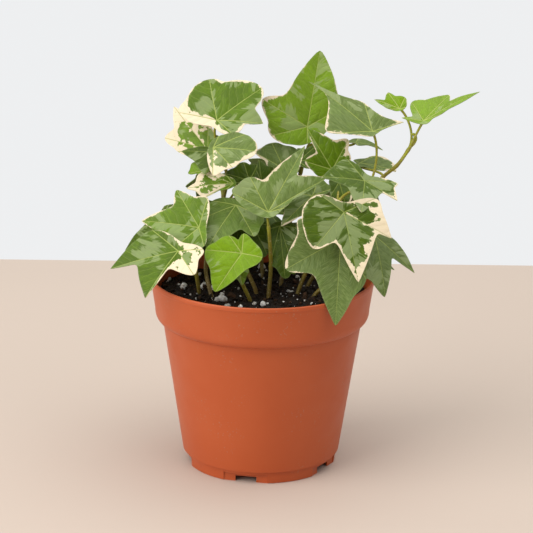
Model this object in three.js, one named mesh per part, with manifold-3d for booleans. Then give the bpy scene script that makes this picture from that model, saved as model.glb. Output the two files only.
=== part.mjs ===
// Potted ivy: a terracotta-coloured plastic pot filled with potting mix, and a bush of variegated
// ivy whose leafy stems rise from the mix. Millimetres, +Z up, the pot standing on Z = 0.
//
// The ivy is described as it is seen from the front and a little above. A place in that view is
// [right, up, near]: millimetres to the right of the pot's axis, above the middle of its rim, and
// towards the viewer. A leaf has a joint, where its petiole and veins meet, a direction that its
// upper face looks in, and the outline of its blade, clockwise from the petiole: lobe tip, sinus,
// lobe tip and so on. A leaf of the hidden side has the common outline instead, with its length.
import * as THREE from 'three';
import { mergeVertices } from 'three/addons/utils/BufferGeometryUtils.js';
import Module from 'manifold-3d';

const wasm = await Module();
wasm.setup();

// ---------------------------------------------------------------- driving dimensions
const POT = {
  height: 95,
  rimRadius: 55, // outside of the lip
  bandFootRadius: 52.7, // outside of the rim band, just above its shoulder
  bandFootHeight: 79.3,
  shoulderHeight: 73.4, // where the shoulder leaves the tapered body
  shoulderCurve: [[0.3, 0.1], [0.65, 0.3], [0.88, 0.6], [1, 1]], // [share outwards, share upwards]
  bodyTopRadius: 49,
  bodyFootRadius: 38.9,
  footRadius: 37.1,
  footHeight: 6,
  footRing: 2.4, // width of the standing ring
  wall: 1.3,
  lipHeight: 2.4,
  lipStep: 0.4,
  lipRound: 0.5,
  plateRise: 3.5, // underside of the base plate above the table
  plate: 1.4,
  sides: 36,
};
const DRAIN = {
  count: 5,
  firstAngle: -11.5, // degrees from the front, towards the right
  width: 10.4,
  height: 2.8,
  panelWidth: 22,
  panelHeight: 4.5,
  panelDepth: 2,
  cutBehind: 2, // how far the opening is cut behind the standing ring
};
const SOIL = {
  level: 87,
  gap: 0.55, // between the mix and the pot, and around each stem
  rings: [0.2, 0.4, 0.6, 0.78, 0.92, 1],
  relief: 1.1,
  broadWaves: [0.19, 0.23], // radians per millimetre, along X and along Y
  fineWaves: [0.61, 0.71],
  fineShare: 0.4,
  edgeDrop: 1,
  crumbs: 16,
  crumbSeed: 11, // the crumbs always lie alike
  crumbRadius: [1.1, 2.4],
  crumbShape: [1, 0.8, 0.7], // shares of its radius along, across and up
  crumbRise: 0.2,
  crumbReach: 0.9, // share of the radius that crumbs lie within
  holeDepth: 8,
  holeSides: 8,
};
const VIEW = { tilt: 17, distance: 1103 }; // degrees below level; mm from the middle of the rim
const BLADE = { thickness: 0.9, notch: 0.1, full: 0.09, curl: 0.15, fold: 0.12, innerRing: 0.5 };
const STEM = { radius: 1.2, sides: 6, stepsPerSpan: 2 };
const SHORTEST_EDGE = 0.02;
const MERGE = 1e-4; // vertices closer than this are one
// `below` and `behind` are the shares of a petiole's last stretch that come from under the blade and
// from behind its joint.
const PETIOLE = { radius: 0.75, sides: 5, step: 5.5, reach: 0.35, below: 0.8, behind: 0.6 };

// The common blade: [degrees from the midrib, share of the length], clockwise from the petiole.
const COMMON_BLADE = [
  [-108, 0.56], [-80, 0.44], [-52, 0.74], [-27, 0.5], [0, 1], [27, 0.5], [52, 0.74], [80, 0.44], [108, 0.56],
];

// Each stem's path starts at the surface of the mix; `at` is how far up the stem a petiole leaves.
const STEMS = [
  {
    name: 'ivy_stem_01',
    path: [[-25, -12, 9], [-28, 3, 4], [-25, 20, 0], [-20, 36, -2], [-18, 48, -4], [-21, 57, -6]],
    leaves: [
      { at: 0.98, joint: [-23.3, 75.5, 2], face: [-10, 40], full: 0.15,
        edge: [[-42, 78.5], [-37.5, 84.5], [-27, 94.5], [-20, 92.5], [-0.8, 91.5], [-6, 80.5],
          [-0.3, 74], [-10, 74.3], [-15, 68]] },
      { at: 0.97, joint: [-27.5, 61, -6], face: [-30, 30],
        edge: [[-41, 59.5], [-43.5, 61.8], [-48.8, 66.5], [-42.5, 70.5], [-44.5, 82.3], [-33, 74],
          [-27, 73], [-24, 68], [-20, 66]] },
      { at: 0.85, joint: [-25, 62, 14], face: [0, 45], full: 0.12,
        edge: [[-22.5, 67], [-19, 67.8], [-10, 68.3], [-6.5, 66.5], [-4, 60.3], [-11.5, 55.5],
          [-16, 52.5], [-19.5, 51], [-25, 47.5]] },
      { at: 0.78, joint: [-24, 59.5, 3], face: [-30, 45],
        edge: [[-23, 52], [-25.5, 52], [-28.3, 48.2], [-33, 55], [-40.7, 60], [-34, 61.3], [-27, 61.8]] },
      { at: 0.68, joint: [-28, 51, -3], face: [-30, 40],
        edge: [[-31, 48.8], [-33, 49.2], [-37, 49], [-36.3, 52], [-34, 54.8], [-30, 53], [-28, 53]] },
      { at: 0.58, joint: [-15, 44.5, 9], face: [-10, 45],
        edge: [[-18, 41.5], [-23, 41], [-28.5, 37.3], [-33, 40.5], [-38, 42], [-33, 44.5], [-31, 49],
          [-25, 49], [-18, 47.8]] },
      { at: 0.4, joint: [-24, 29, -14], face: [-150, 50], length: 22, turn: -10 },
      { at: 0.6, joint: [-25, 47, -23], face: [-155, 45], length: 20, turn: 8 },
    ],
  },
  {
    name: 'ivy_stem_02',
    path: [[-31, -9, 4], [-33, 3, 8], [-34, 15, 9]],
    leaves: [
      { at: 0.97, joint: [-31.5, 22.7, 22], face: [-10, 40],
        edge: [[-28.5, 12.5], [-36, 13], [-42, 13], [-46.5, 18.5], [-60.3, 25.5], [-43, 31.5],
          [-42.8, 41], [-34, 36.2], [-27, 37.6]] },
      { at: 0.75, joint: [-41.5, 11, 34], face: [-20, 45],
        edge: [[-28.3, 11.3], [-31.5, 6], [-33, -1.8], [-46, 3.5], [-57.5, -13], [-60, 5], [-75, 1.5],
          [-59, 16.5], [-54, 20.5]] },
      { at: 0.6, joint: [-50, 24, 6], face: [-50, 30],
        edge: [[-52, 10], [-56, 13], [-68, 11], [-60, 20.5], [-58, 22.5], [-51, 27], [-46, 33.7],
          [-42, 30], [-40, 28]] },
    ],
  },
  {
    name: 'ivy_stem_03',
    path: [[-3, -9, 2], [-9, 5, 4], [-13, 20, 2], [-12, 36, 0], [-8, 46, -2]],
    leaves: [
      { at: 0.7, joint: [-13.5, 34, 9], face: [0, 50],
        edge: [[0.3, 27], [-1.5, 23], [-4.5, 18], [-11, 22.5], [-27.5, 12.3], [-28.5, 22], [-28.5, 27],
          [-26.5, 30], [-25.5, 35.3]] },
      { at: 0.9, joint: [-7, 46, 1], face: [0, 30],
        edge: [[-11, 42.5], [-13, 43], [-18, 44], [-17, 47], [-18.8, 49.5], [-14, 52], [-10, 55],
          [-7, 53.5], [-3, 54]] },
      { at: 0.5, joint: [-6, 26, 5], face: [0, 30],
        edge: [[3, 24], [2, 18], [2, 10], [-2, 8], [-8, 6], [-11, 13], [-16, 21]] },
      { at: 0.4, joint: [-14, 30, -10], face: [-30, 68], length: 20, turn: 60 },
    ],
  },
  {
    name: 'ivy_stem_04',
    path: [[-6, -12.5, 15], [-9, -6.5, 18], [-12.5, 0.5, 22]],
    leaves: [
      { at: 0.97, joint: [-10.3, 10.3, 32], face: [0, 35], notch: 0.25,
        edge: [[-9.5, 20], [-5, 15.7], [0.3, 8], [-9, 2.2], [-23.5, -9.7], [-25, 2], [-28, 11.5],
          [-23, 15], [-16.5, 18.5]] },
      { at: 0.9, joint: [-11.5, 1.2, 25], face: [0, 30],
        edge: [[-6.5, 2.5], [-8, -1], [-9.8, -5.7], [-12, -2.5], [-15.5, -1.5]] },
    ],
  },
  {
    name: 'ivy_stem_05',
    path: [[3, -11, 9], [4, 4, 12], [3.5, 14, 16], [2.6, 24, 20]],
    leaves: [
      { at: 0.97, joint: [2.4, 30.7, 22], face: [0, 30],
        edge: [[-15.8, 39.8], [-12.3, 43.3], [-6.5, 47], [0.3, 44.4], [20.5, 64], [14.3, 47],
          [31.7, 48.2], [14.5, 37.5], [9, 32.3]] },
      { at: 0.5, joint: [8, 24, 8], face: [0, 30],
        edge: [[17, 23], [16, 15], [16, 1], [14, 1], [11, -1.5], [7, 3], [4, 6], [3.5, 14], [2, 22]] },
    ],
  },
  {
    name: 'ivy_stem_06',
    path: [[9, -5, -9], [12, 20, -10], [16, 42, -11], [20, 58, -12], [22, 64, -12]],
    leaves: [
      { at: 0.97, joint: [21, 73, -6], face: [0, 10], notch: 0.28,
        edge: [[3.5, 68.5], [2.3, 76], [-1.5, 86.5], [11, 87], [27, 111.8], [35, 89.5], [37, 82],
          [31, 72], [21, 65]] },
      { at: 0.8, joint: [33.5, 52, 4], face: [0, 15],
        edge: [[28, 48.3], [24, 51.5], [19.8, 56], [26.8, 60], [20.5, 72.8], [34, 65.5], [41.3, 67],
          [40.7, 61.5], [42.5, 56.3]] },
      { at: 0.7, joint: [10, 52, -8], face: [-10, 30],
        edge: [[2.5, 52.5], [1, 56], [-5, 60.3], [-1, 62], [4, 64.2], [10, 63], [16.5, 61], [17, 56],
          [17, 50]] },
      { at: 0.55, joint: [-1, 45, -4], face: [0, 30],
        edge: [[-5, 44], [-5, 48], [-5, 54.5], [-3.5, 53], [-2.5, 56.4], [1, 53], [5, 52], [4, 47],
          [4, 43]] },
      { at: 0.85, joint: [17, 56, -4], face: [0, 40],
        edge: [[14, 57], [15, 60], [18, 62], [20, 61], [26, 63.7], [28, 60], [30, 57], [26, 55],
          [22, 52]] },
      { at: 0.45, joint: [24, 39, 6], face: [0, 45],
        edge: [[20, 30], [17, 28], [8.5, 23.5], [11, 31], [12, 40], [19, 42], [27, 47], [31, 44],
          [36, 43]] },
      { at: 0.92, joint: [45, 65.5, -13], face: [30, 80],
        edge: [[40, 65], [42, 66], [46, 67], [50, 65.8], [58.5, 61.7], [51, 63.8], [46, 63.5]] },
      { at: 0.3, joint: [8, 24, -6], face: [-30, 65], length: 22, turn: -20 },
      { at: 0.75, joint: [28, 58, -27], face: [160, 45], length: 24, turn: 6 },
    ],
  },
  {
    name: 'ivy_stem_07',
    path: [[22, -5, -8], [34, 12, -3], [45, 30, 2], [51, 42, 5]],
    leaves: [
      { at: 0.97, joint: [53, 71, 14], face: [5, 40], full: -0.04,
        edge: [[28.5, 68.3], [31.5, 87], [21, 95.5], [38, 87.3], [48.5, 84.7], [58, 77.5], [68.5, 75],
          [59, 71.8], [56, 70.3]] },
    ],
  },
  {
    name: 'ivy_stem_08',
    path: [[29, -4, -14], [42, 20, -11], [52, 40, -8], [58.5, 48.7, -3], [65.5, 54.7, 2], [71.7, 63.6, 5]],
    leaves: [
      { at: 0.97, joint: [66.3, 82.3, 5], face: [-10, 35],
        edge: [[62, 81.8], [58, 83.6], [53.6, 86.8], [59.4, 85.7], [60.3, 90.3], [64, 87.9],
          [68.8, 87.6], [69.8, 85.4], [69.2, 82.8]] },
      { at: 0.82, joint: [78, 76.3, 10], face: [0, 60],
        edge: [[67, 77], [73.5, 77.5], [71.8, 84.8], [79, 84.8], [90.8, 88.6], [90, 84.3], [106, 91],
          [90, 81.7], [82, 77.5]] },
      { at: 0.2, joint: [50, 14, -3], face: [75, 45], length: 20, turn: 20 },
      { at: 0.45, joint: [54, 41, -16], face: [95, 14], length: 17, turn: 4 },
      { at: 0.65, joint: [47, 55.5, -17], face: [10, 70],
        edge: [[43.5, 56.5], [50, 57], [55, 58.6], [62, 55.5], [65, 51.3], [61, 52], [58, 51.5], [49, 53],
          [46, 53.5]] },
    ],
  },
  {
    name: 'ivy_stem_09',
    path: [[17, -10, 6], [24, 8, 12], [31, 24, 16], [38, 38, 18]],
    leaves: [
      { at: 0.85, joint: [39.5, 31, 47], face: [5, 25],
        edge: [[55.5, 38], [58, 30.5], [63.3, 18], [55.2, 21.8], [47, -4.3], [36, 17.8], [24.3, 11.8],
          [18.2, 31.5], [27, 39.8]] },
      { at: 0.97, joint: [49.5, 46.5, 38], face: [10, 50],
        edge: [[66, 45.3], [63.5, 42.5], [65.8, 36.3], [57.5, 41.5], [48, 29.8], [42, 43.5], [29, 48],
          [35, 53], [40.5, 56.7]] },
      { at: 0.9, joint: [37, 46, 12], face: [0, 30],
        edge: [[43, 46], [44, 42], [40.5, 34], [36, 36], [33, 39], [33, 43], [32, 47]] },
    ],
  },
  {
    name: 'ivy_stem_10',
    path: [[25, -11, 8], [34, -2, 14], [42, 8, 18], [48, 14, 20]],
    leaves: [
      { at: 0.8, joint: [38, 18, 39], face: [0, 25], full: 0.07,
        edge: [[52, 12], [50, 4], [50.5, -1.5], [44, -10.5], [36, -25.5], [26.3, 1.8], [10.5, 2],
          [17.8, 19.5], [17, 28]] },
      { at: 0.97, joint: [54.5, 20, 22], face: [30, 35],
        edge: [[60, 20], [66, 14.3], [74.5, 1], [61.3, 10.8], [60.3, -11], [53, -2.5], [47, 2],
          [46, 10], [46, 16]] },
    ],
  },
  {
    name: 'ivy_stem_11',
    path: [[-21, -2, -21], [-28, 10, -24], [-34, 20, -27], [-36, 27, -29]],
    leaves: [
      { at: 0.7, joint: [-48, 18, -15], face: [-110, 40], length: 24, turn: -10 },
      { at: 0.95, joint: [-40, 31, -31], face: [-140, 40], length: 27, turn: 8 },
      { at: 0.8, joint: [-30, 19, -44], face: [-152, 30], length: 26, turn: -6 },
      { at: 0.97, joint: [-25, 34, -24], face: [-165, 50], length: 21, turn: 15 },
      { at: 0.5, joint: [-33, 17, -14], face: [-80, 60], length: 20, turn: 10 },
    ],
  },
  {
    name: 'ivy_stem_12',
    path: [[0, -1, -23], [-1, 14, -27], [2, 28, -28], [4, 40, -26]],
    leaves: [
      { at: 0.8, joint: [-8, 35, -39], face: [-172, 38], length: 28, turn: -8 },
      { at: 0.97, joint: [8, 45, -26], face: [170, 45], length: 25, turn: 10 },
      { at: 0.6, joint: [12, 23, -47], face: [168, 28], length: 25, turn: 4 },
      { at: 0.5, joint: [-12, 20, -18], face: [-60, 66], length: 22, turn: -15 },
      { at: 0.7, joint: [6, 31, -20], face: [40, 68], length: 22, turn: 160 },
      { at: 0.97, joint: [4, 55, -34], face: [-175, 50], length: 23, turn: -5 },
    ],
  },
  {
    name: 'ivy_stem_13',
    path: [[20, 0, -24], [26, 14, -28], [31, 27, -28], [30, 36, -25]],
    leaves: [
      { at: 0.85, joint: [38, 36, -29], face: [140, 42], length: 26, turn: -8 },
      { at: 0.6, joint: [44, 22, -26], face: [122, 38], length: 22, turn: 6 },
      { at: 0.7, joint: [34, 20, -45], face: [152, 28], length: 25, turn: 5 },
      { at: 0.97, joint: [24, 42, -20], face: [165, 48], length: 22, turn: 12 },
      { at: 0.5, joint: [22, 21, -20], face: [150, 66], length: 20, turn: 8 },
    ],
  },
];

// ---------------------------------------------------------------- solids
// A closed geometry as a solid that can be joined and cut.
function solidOf(geometry) {
  const bare = geometry.clone();
  bare.deleteAttribute('normal');
  bare.deleteAttribute('uv');
  const merged = mergeVertices(bare, MERGE);
  const mesh = new wasm.Mesh({
    numProp: 3,
    vertProperties: Float32Array.from(merged.attributes.position.array),
    triVerts: Uint32Array.from(merged.index.array),
  });
  return new wasm.Manifold(mesh);
}

// The geometry of a solid, without edges too short to keep.
function geometryOf(solid) {
  const mesh = solid.simplify(SHORTEST_EDGE).getMesh();
  const geometry = new THREE.BufferGeometry();
  geometry.setAttribute('position', new THREE.Float32BufferAttribute(mesh.vertProperties, 3));
  geometry.setIndex(Array.from(mesh.triVerts));
  geometry.computeVertexNormals();
  return geometry;
}

// A body turned about Z from a closed [radius, height] profile.
function turned(profile, sides) {
  const points = profile.map(([radius, height]) => new THREE.Vector2(radius, height));
  return new THREE.LatheGeometry(points, sides).rotateX(Math.PI / 2);
}

// A bar of even thickness along a curve.
function bar(curve, radius, sides, steps) {
  const section = new THREE.Shape();
  section.absarc(0, 0, radius, 0, 2 * Math.PI);
  const corners = section.getPoints(sides).slice(0, sides);
  return new THREE.ExtrudeGeometry(new THREE.Shape(corners), {
    steps,
    bevelEnabled: false,
    extrudePath: curve,
  });
}

// ---------------------------------------------------------------- the tilted view
const tilt = THREE.MathUtils.degToRad(VIEW.tilt);
const RIM_MIDDLE = new THREE.Vector3(0, 0, POT.height);
const RIGHT = new THREE.Vector3(1, 0, 0);
const UP = new THREE.Vector3(0, Math.sin(tilt), Math.cos(tilt));
const TOWARDS = new THREE.Vector3(0, -Math.cos(tilt), Math.sin(tilt));
const EYE = RIM_MIDDLE.clone().addScaledVector(TOWARDS, VIEW.distance);

// The place that is seen at [right, up] and lies this near; nearer things look larger.
function seenPoint([right, up, near]) {
  const scale = (VIEW.distance - near) / VIEW.distance;
  return RIM_MIDDLE.clone()
    .addScaledVector(RIGHT, right * scale)
    .addScaledVector(UP, up * scale)
    .addScaledVector(TOWARDS, near);
}

// Where the line of sight through [right, up] meets the plane through a point.
function seenOnPlane([right, up], point, normal) {
  const sight = seenPoint([right, up, 0]).sub(EYE);
  const reach = point.clone().sub(EYE).dot(normal) / sight.dot(normal);
  return EYE.clone().addScaledVector(sight, reach);
}

// ---------------------------------------------------------------- pot
// The inside of the pot from the lip down to the base plate, drawn in by a gap.
function innerWall(gap) {
  const inset = POT.wall + gap;
  return [
    [POT.rimRadius - inset, POT.height - POT.lipRound],
    [POT.rimRadius - POT.lipStep - inset, POT.height - POT.lipHeight],
    [POT.bandFootRadius - inset, POT.bandFootHeight],
    [POT.bodyTopRadius - inset, POT.shoulderHeight - POT.wall],
    [POT.bodyFootRadius - inset, POT.footHeight],
    [POT.footRadius - inset, POT.plateRise + POT.plate + gap],
  ];
}

// Base plate, standing ring, foot, tapered body, rounded shoulder, rim band, lip and inside.
function potProfile() {
  const ringInside = POT.footRadius - POT.footRing;
  const shoulder = POT.shoulderCurve.map(([spread, rise]) => [
    THREE.MathUtils.lerp(POT.bodyTopRadius, POT.bandFootRadius, spread),
    THREE.MathUtils.lerp(POT.shoulderHeight, POT.bandFootHeight, rise),
  ]);
  return [
    [0, POT.plateRise],
    [ringInside - POT.lipStep, POT.plateRise],
    [ringInside, 0],
    [POT.footRadius - POT.lipStep, 0],
    [POT.footRadius, POT.lipStep],
    [POT.footRadius + POT.lipStep, POT.footHeight - POT.lipStep],
    [POT.bodyFootRadius, POT.footHeight + POT.lipStep],
    [POT.bodyTopRadius, POT.shoulderHeight],
    ...shoulder,
    [POT.rimRadius - POT.lipStep, POT.height - POT.lipHeight],
    [POT.rimRadius, POT.height - POT.lipHeight + POT.lipRound],
    [POT.rimRadius, POT.height - POT.lipRound],
    [POT.rimRadius - POT.lipRound, POT.height],
    [POT.rimRadius - POT.wall + POT.lipRound / 2, POT.height],
    ...innerWall(0),
    [0, POT.plateRise + POT.plate],
  ];
}

// A block that is cut from the foot ring, its inner face at a radius.
function footCut(width, height, innerRadius, angle) {
  const depth = 2 * (POT.bodyFootRadius - innerRadius);
  return new THREE.BoxGeometry(width, depth, 2 * height)
    .translate(0, -innerRadius - depth / 2, 0)
    .rotateZ(angle);
}

// Each drain is an opening through the ring in the middle of a panel that is set back a little.
function makePot() {
  let pot = solidOf(turned(potProfile(), POT.sides));
  const panelRadius = POT.footRadius - DRAIN.panelDepth;
  const cutRadius = POT.footRadius - POT.footRing - DRAIN.cutBehind;
  for (let i = 0; i < DRAIN.count; i += 1) {
    const angle = THREE.MathUtils.degToRad(DRAIN.firstAngle + (360 * i) / DRAIN.count);
    pot = pot.subtract(solidOf(footCut(DRAIN.panelWidth, DRAIN.panelHeight, panelRadius, angle)));
    pot = pot.subtract(solidOf(footCut(DRAIN.width, DRAIN.height, cutRadius, angle)));
  }
  return pot;
}

// ---------------------------------------------------------------- potting mix
function soilHeight(x, y, share) {
  const broad = Math.sin(x * SOIL.broadWaves[0] + 1) * Math.cos(y * SOIL.broadWaves[1]);
  const fine = Math.sin(x * SOIL.fineWaves[0] - y / 3) * Math.sin(y * SOIL.fineWaves[1] + x / 3);
  const waves = THREE.MathUtils.lerp(broad, fine, SOIL.fineShare);
  return SOIL.level + SOIL.relief * waves - SOIL.edgeDrop * share ** 6;
}

// The filling of the pot, with its uneven top.
function soilBody() {
  const wallBelow = innerWall(SOIL.gap).slice(2);
  const topRadius = POT.bandFootRadius - POT.wall - SOIL.gap;
  const positions = [0, 0, soilHeight(0, 0, 0)];
  const rings = [
    ...SOIL.rings.map((share) => ({ radius: topRadius * share, share })),
    ...wallBelow.map(([radius, height]) => ({ radius, height })),
  ];
  rings.forEach(({ radius, share, height }) => {
    for (let i = 0; i < POT.sides; i += 1) {
      const angle = (2 * Math.PI * i) / POT.sides;
      const x = radius * Math.cos(angle);
      const y = radius * Math.sin(angle);
      positions.push(x, y, height ?? soilHeight(x, y, share));
    }
  });
  const foot = positions.length / 3;
  positions.push(0, 0, wallBelow[wallBelow.length - 1][1]);
  const index = [];
  const vertex = (ring, side) => 1 + ring * POT.sides + (side % POT.sides);
  for (let i = 0; i < POT.sides; i += 1) {
    index.push(0, vertex(0, i), vertex(0, i + 1));
    for (let ring = 0; ring < rings.length - 1; ring += 1) {
      index.push(vertex(ring, i), vertex(ring + 1, i), vertex(ring + 1, i + 1));
      index.push(vertex(ring, i), vertex(ring + 1, i + 1), vertex(ring, i + 1));
    }
    index.push(foot, vertex(rings.length - 1, i + 1), vertex(rings.length - 1, i));
  }
  const geometry = new THREE.BufferGeometry();
  geometry.setAttribute('position', new THREE.Float32BufferAttribute(positions, 3));
  geometry.setIndex(index);
  return solidOf(geometry);
}

// Bark and perlite crumbs half sunk in the mix, clear of the stems.
function addCrumbs(soil, feet) {
  const random = THREE.MathUtils.seededRandom;
  const [least, most] = SOIL.crumbRadius;
  random(SOIL.crumbSeed);
  let filled = soil;
  for (let laid = 0; laid < SOIL.crumbs;) {
    const angle = 2 * Math.PI * random();
    const reach = SOIL.crumbReach * POT.bodyTopRadius * Math.sqrt(random());
    const radius = THREE.MathUtils.lerp(least, most, random() ** 2);
    const x = reach * Math.cos(angle);
    const y = reach * Math.sin(angle);
    const clear = feet.every((foot) => Math.hypot(foot.x - x, foot.y - y) > radius + 2 * STEM.radius);
    if (clear) {
      const crumb = new THREE.IcosahedronGeometry(radius, 0)
        .scale(...SOIL.crumbShape)
        .rotateZ(2 * Math.PI * random())
        .translate(x, y, soilHeight(x, y, 0) + SOIL.crumbRise * radius);
      filled = filled.add(solidOf(crumb));
      laid += 1;
    }
  }
  return filled;
}

// The largest body of a solid, without loose scraps.
function largestBody(solid) {
  return solid.decompose().reduce((best, body) => (body.volume() > best.volume() ? body : best));
}

// A plain hole around each stem.
function makeSoil(feet) {
  let soil = addCrumbs(soilBody(), feet);
  feet.forEach((foot) => {
    const radius = STEM.radius + 2 * SOIL.gap;
    const height = 2 * SOIL.holeDepth;
    const hole = new THREE.CylinderGeometry(radius, radius, height, SOIL.holeSides)
      .rotateX(Math.PI / 2)
      .translate(foot.x, foot.y, SOIL.level);
    soil = soil.subtract(solidOf(hole));
  });
  return largestBody(soil);
}

// ---------------------------------------------------------------- leaves
// The blade's own frame: its joint, midrib, right-hand side and upper normal, and its outline.
function bladeFrame(leaf) {
  const joint = seenPoint(leaf.joint);
  const [azimuth, elevation] = leaf.face.map(THREE.MathUtils.degToRad);
  const normal = new THREE.Vector3(
    Math.sin(azimuth) * Math.cos(elevation),
    -Math.cos(azimuth) * Math.cos(elevation),
    Math.sin(elevation),
  );
  const across = new THREE.Vector3();
  const along = new THREE.Vector3();
  if (!leaf.edge) {
    along.set(0, 0, -1).addScaledVector(normal, normal.z).normalize();
    along.applyAxisAngle(normal, THREE.MathUtils.degToRad(leaf.turn));
    across.crossVectors(along, normal);
    const edge = COMMON_BLADE.map(([degrees, share]) => {
      const angle = THREE.MathUtils.degToRad(degrees);
      return new THREE.Vector2(Math.sin(angle), Math.cos(angle)).multiplyScalar(share * leaf.length);
    });
    return { joint, normal, along, across, edge };
  }
  const places = leaf.edge.map((seen) => seenOnPlane(seen, joint, normal).sub(joint));
  const tips = places.filter((place, i) => i % 2 === 0);
  const longest = tips.reduce((best, tip) => (tip.length() > best.length() ? tip : best));
  along.copy(longest).normalize();
  across.crossVectors(along, normal);
  const edge = places.map((place) => new THREE.Vector2(place.dot(across), place.dot(along)));
  return { joint, normal, along, across, edge };
}

// The outline with the notch at the petiole first. Where the leaf has an outline of its own, there
// is a point halfway along each rounded edge.
function roundedOutline(leaf, edge) {
  const first = Math.atan2(edge[0].x, edge[0].y);
  let last = Math.atan2(edge[edge.length - 1].x, edge[edge.length - 1].y);
  if (last < first) last += 2 * Math.PI;
  const middle = (first + last) / 2 + Math.PI;
  const depth = (leaf.notch ?? BLADE.notch) * Math.max(...edge.map((point) => point.length()));
  const notch = new THREE.Vector2(Math.sin(middle), Math.cos(middle)).multiplyScalar(depth);
  const corners = [notch, ...edge];
  if (!leaf.edge) return corners;
  return corners.flatMap((corner, i) => {
    const next = corners[(i + 1) % corners.length];
    const step = next.clone().sub(corner);
    const outward = new THREE.Vector2(-step.y, step.x).multiplyScalar(leaf.full ?? BLADE.full);
    return [corner, corner.clone().addScaledVector(step, 0.5).add(outward)];
  });
}

// How high the blade stands above its plane: arched along its length, raised between its veins.
function bladeHeight(point, edge) {
  const length = Math.max(...edge.map((corner) => corner.length()));
  const reach = point.length();
  const share = Math.min(reach / length, 1);
  const bearing = Math.atan2(point.x, point.y);
  const turns = edge
    .filter((tip, i) => i % 2 === 0)
    .map((tip) => Math.abs(Math.atan2(tip.x, tip.y) - bearing))
    .map((turn) => Math.min(turn, 2 * Math.PI - turn, Math.PI / 2));
  return BLADE.curl * length * (share - share ** 2) + BLADE.fold * reach * Math.sin(Math.min(...turns));
}

// A lobed blade of even thickness: the joint, an inner ring under the corners, and the outline.
function makeBlade(leaf) {
  const { joint, normal, along, across, edge } = bladeFrame(leaf);
  const outline = roundedOutline(leaf, edge);
  const perCorner = leaf.edge ? 2 : 1;
  const inner = outline.filter((point, i) => i % perCorner === 0)
    .map((point) => point.clone().multiplyScalar(BLADE.innerRing));
  const layout = [new THREE.Vector2(0, 0), ...inner, ...outline];
  const positions = [];
  [0.5, -0.5].forEach((side) => {
    layout.forEach((point) => {
      const place = joint.clone()
        .addScaledVector(across, point.x)
        .addScaledVector(along, point.y)
        .addScaledVector(normal, bladeHeight(point, edge) + side * BLADE.thickness);
      positions.push(place.x, place.y, place.z);
    });
  });
  const rimStart = 1 + inner.length;
  const rimPoint = (i) => rimStart + (i % outline.length);
  const faces = inner.flatMap((point, i) => {
    const here = 1 + i;
    const next = 1 + ((i + 1) % inner.length);
    const corner = rimPoint(perCorner * i);
    const half = rimPoint(perCorner * i + 1);
    const after = rimPoint(perCorner * (i + 1));
    const shared = [[0, next, here], [here, next, half], [here, half, corner]];
    return perCorner === 2 ? [...shared, [next, after, half]] : shared;
  });
  const index = faces.flat();
  faces.forEach(([a, b, c]) => index.push(a + layout.length, c + layout.length, b + layout.length));
  outline.forEach((point, i) => {
    const a = rimPoint(i);
    const b = rimPoint(i + 1);
    index.push(a, b, b + layout.length, a, b + layout.length, a + layout.length);
  });
  const geometry = new THREE.BufferGeometry();
  geometry.setAttribute('position', new THREE.Float32BufferAttribute(positions, 3));
  geometry.setIndex(index);
  return solidOf(geometry);
}

// The petiole leaves the stem along it and meets the blade from below and behind.
function makePetiole(leaf, stemCurve) {
  const { joint, normal, along } = bladeFrame(leaf);
  const foot = stemCurve.getPoint(leaf.at);
  const length = foot.distanceTo(joint);
  const bend = PETIOLE.reach * length;
  const arrival = normal.clone().multiplyScalar(PETIOLE.below).addScaledVector(along, PETIOLE.behind);
  const curve = new THREE.CubicBezierCurve3(
    foot,
    foot.clone().addScaledVector(stemCurve.getTangent(leaf.at), bend),
    joint.clone().addScaledVector(arrival, -bend),
    joint,
  );
  const steps = 1 + Math.round(length / PETIOLE.step);
  return solidOf(bar(curve, PETIOLE.radius, PETIOLE.sides, steps));
}

// The stem stands upright in its hole, then follows its path.
function stemCurve(stem) {
  const path = stem.path.map(seenPoint);
  const foot = path[0].clone().setZ(SOIL.level - SOIL.holeDepth + SOIL.gap);
  return new THREE.CatmullRomCurve3([foot, path[0].clone().setZ(SOIL.level), ...path.slice(1)]);
}

function makeStem(stem) {
  const curve = stemCurve(stem);
  const steps = STEM.stepsPerSpan * stem.path.length;
  let solid = solidOf(bar(curve, STEM.radius, STEM.sides, steps));
  stem.leaves.forEach((leaf) => {
    solid = solid.add(makePetiole(leaf, curve)).add(makeBlade(leaf));
  });
  return solid;
}

// ---------------------------------------------------------------- the whole plant
const terracotta = { color: 0xba5c3a, roughness: 0.5, metalness: 0 };
const mix = { color: 0x33261d, roughness: 0.95, metalness: 0 };
const leafGreens = [0x5b8f3c, 0x7fae3f, 0x6f9460, 0x8fb56b];

function addMesh(group, name, solid, look) {
  const mesh = new THREE.Mesh(geometryOf(solid), new THREE.MeshStandardMaterial(look));
  mesh.name = name;
  group.add(mesh);
}

const plant = new THREE.Group();
const feet = STEMS.map((stem) => seenPoint(stem.path[0]));
addMesh(plant, 'pot', makePot(), terracotta);
addMesh(plant, 'soil', makeSoil(feet), mix);
STEMS.forEach((stem, i) => {
  const look = { color: leafGreens[i % leafGreens.length], roughness: 0.5, metalness: 0 };
  addMesh(plant, stem.name, makeStem(stem), look);
});

// The origin is below the middle of the whole plant, which leans out to the right of its pot.
const bounds = new THREE.Box3().setFromObject(plant);
const middle = bounds.getCenter(new THREE.Vector3());
plant.position.set(-middle.x, -middle.y, 0);

export default plant;
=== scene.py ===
# %% [markdown]
# # A potted variegated ivy
#
# The object is a small plastic nursery pot, filled with potting mix, with a bush of variegated ivy
# growing in it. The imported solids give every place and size. The pieces made here keep their form
# and add what solids with few faces can't show: round walls, thin veined blades with cream margins,
# tapered stems, and a mix of bark, fibre and perlite.

# %% Load the fixed frame
import math
from functools import partial

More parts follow.
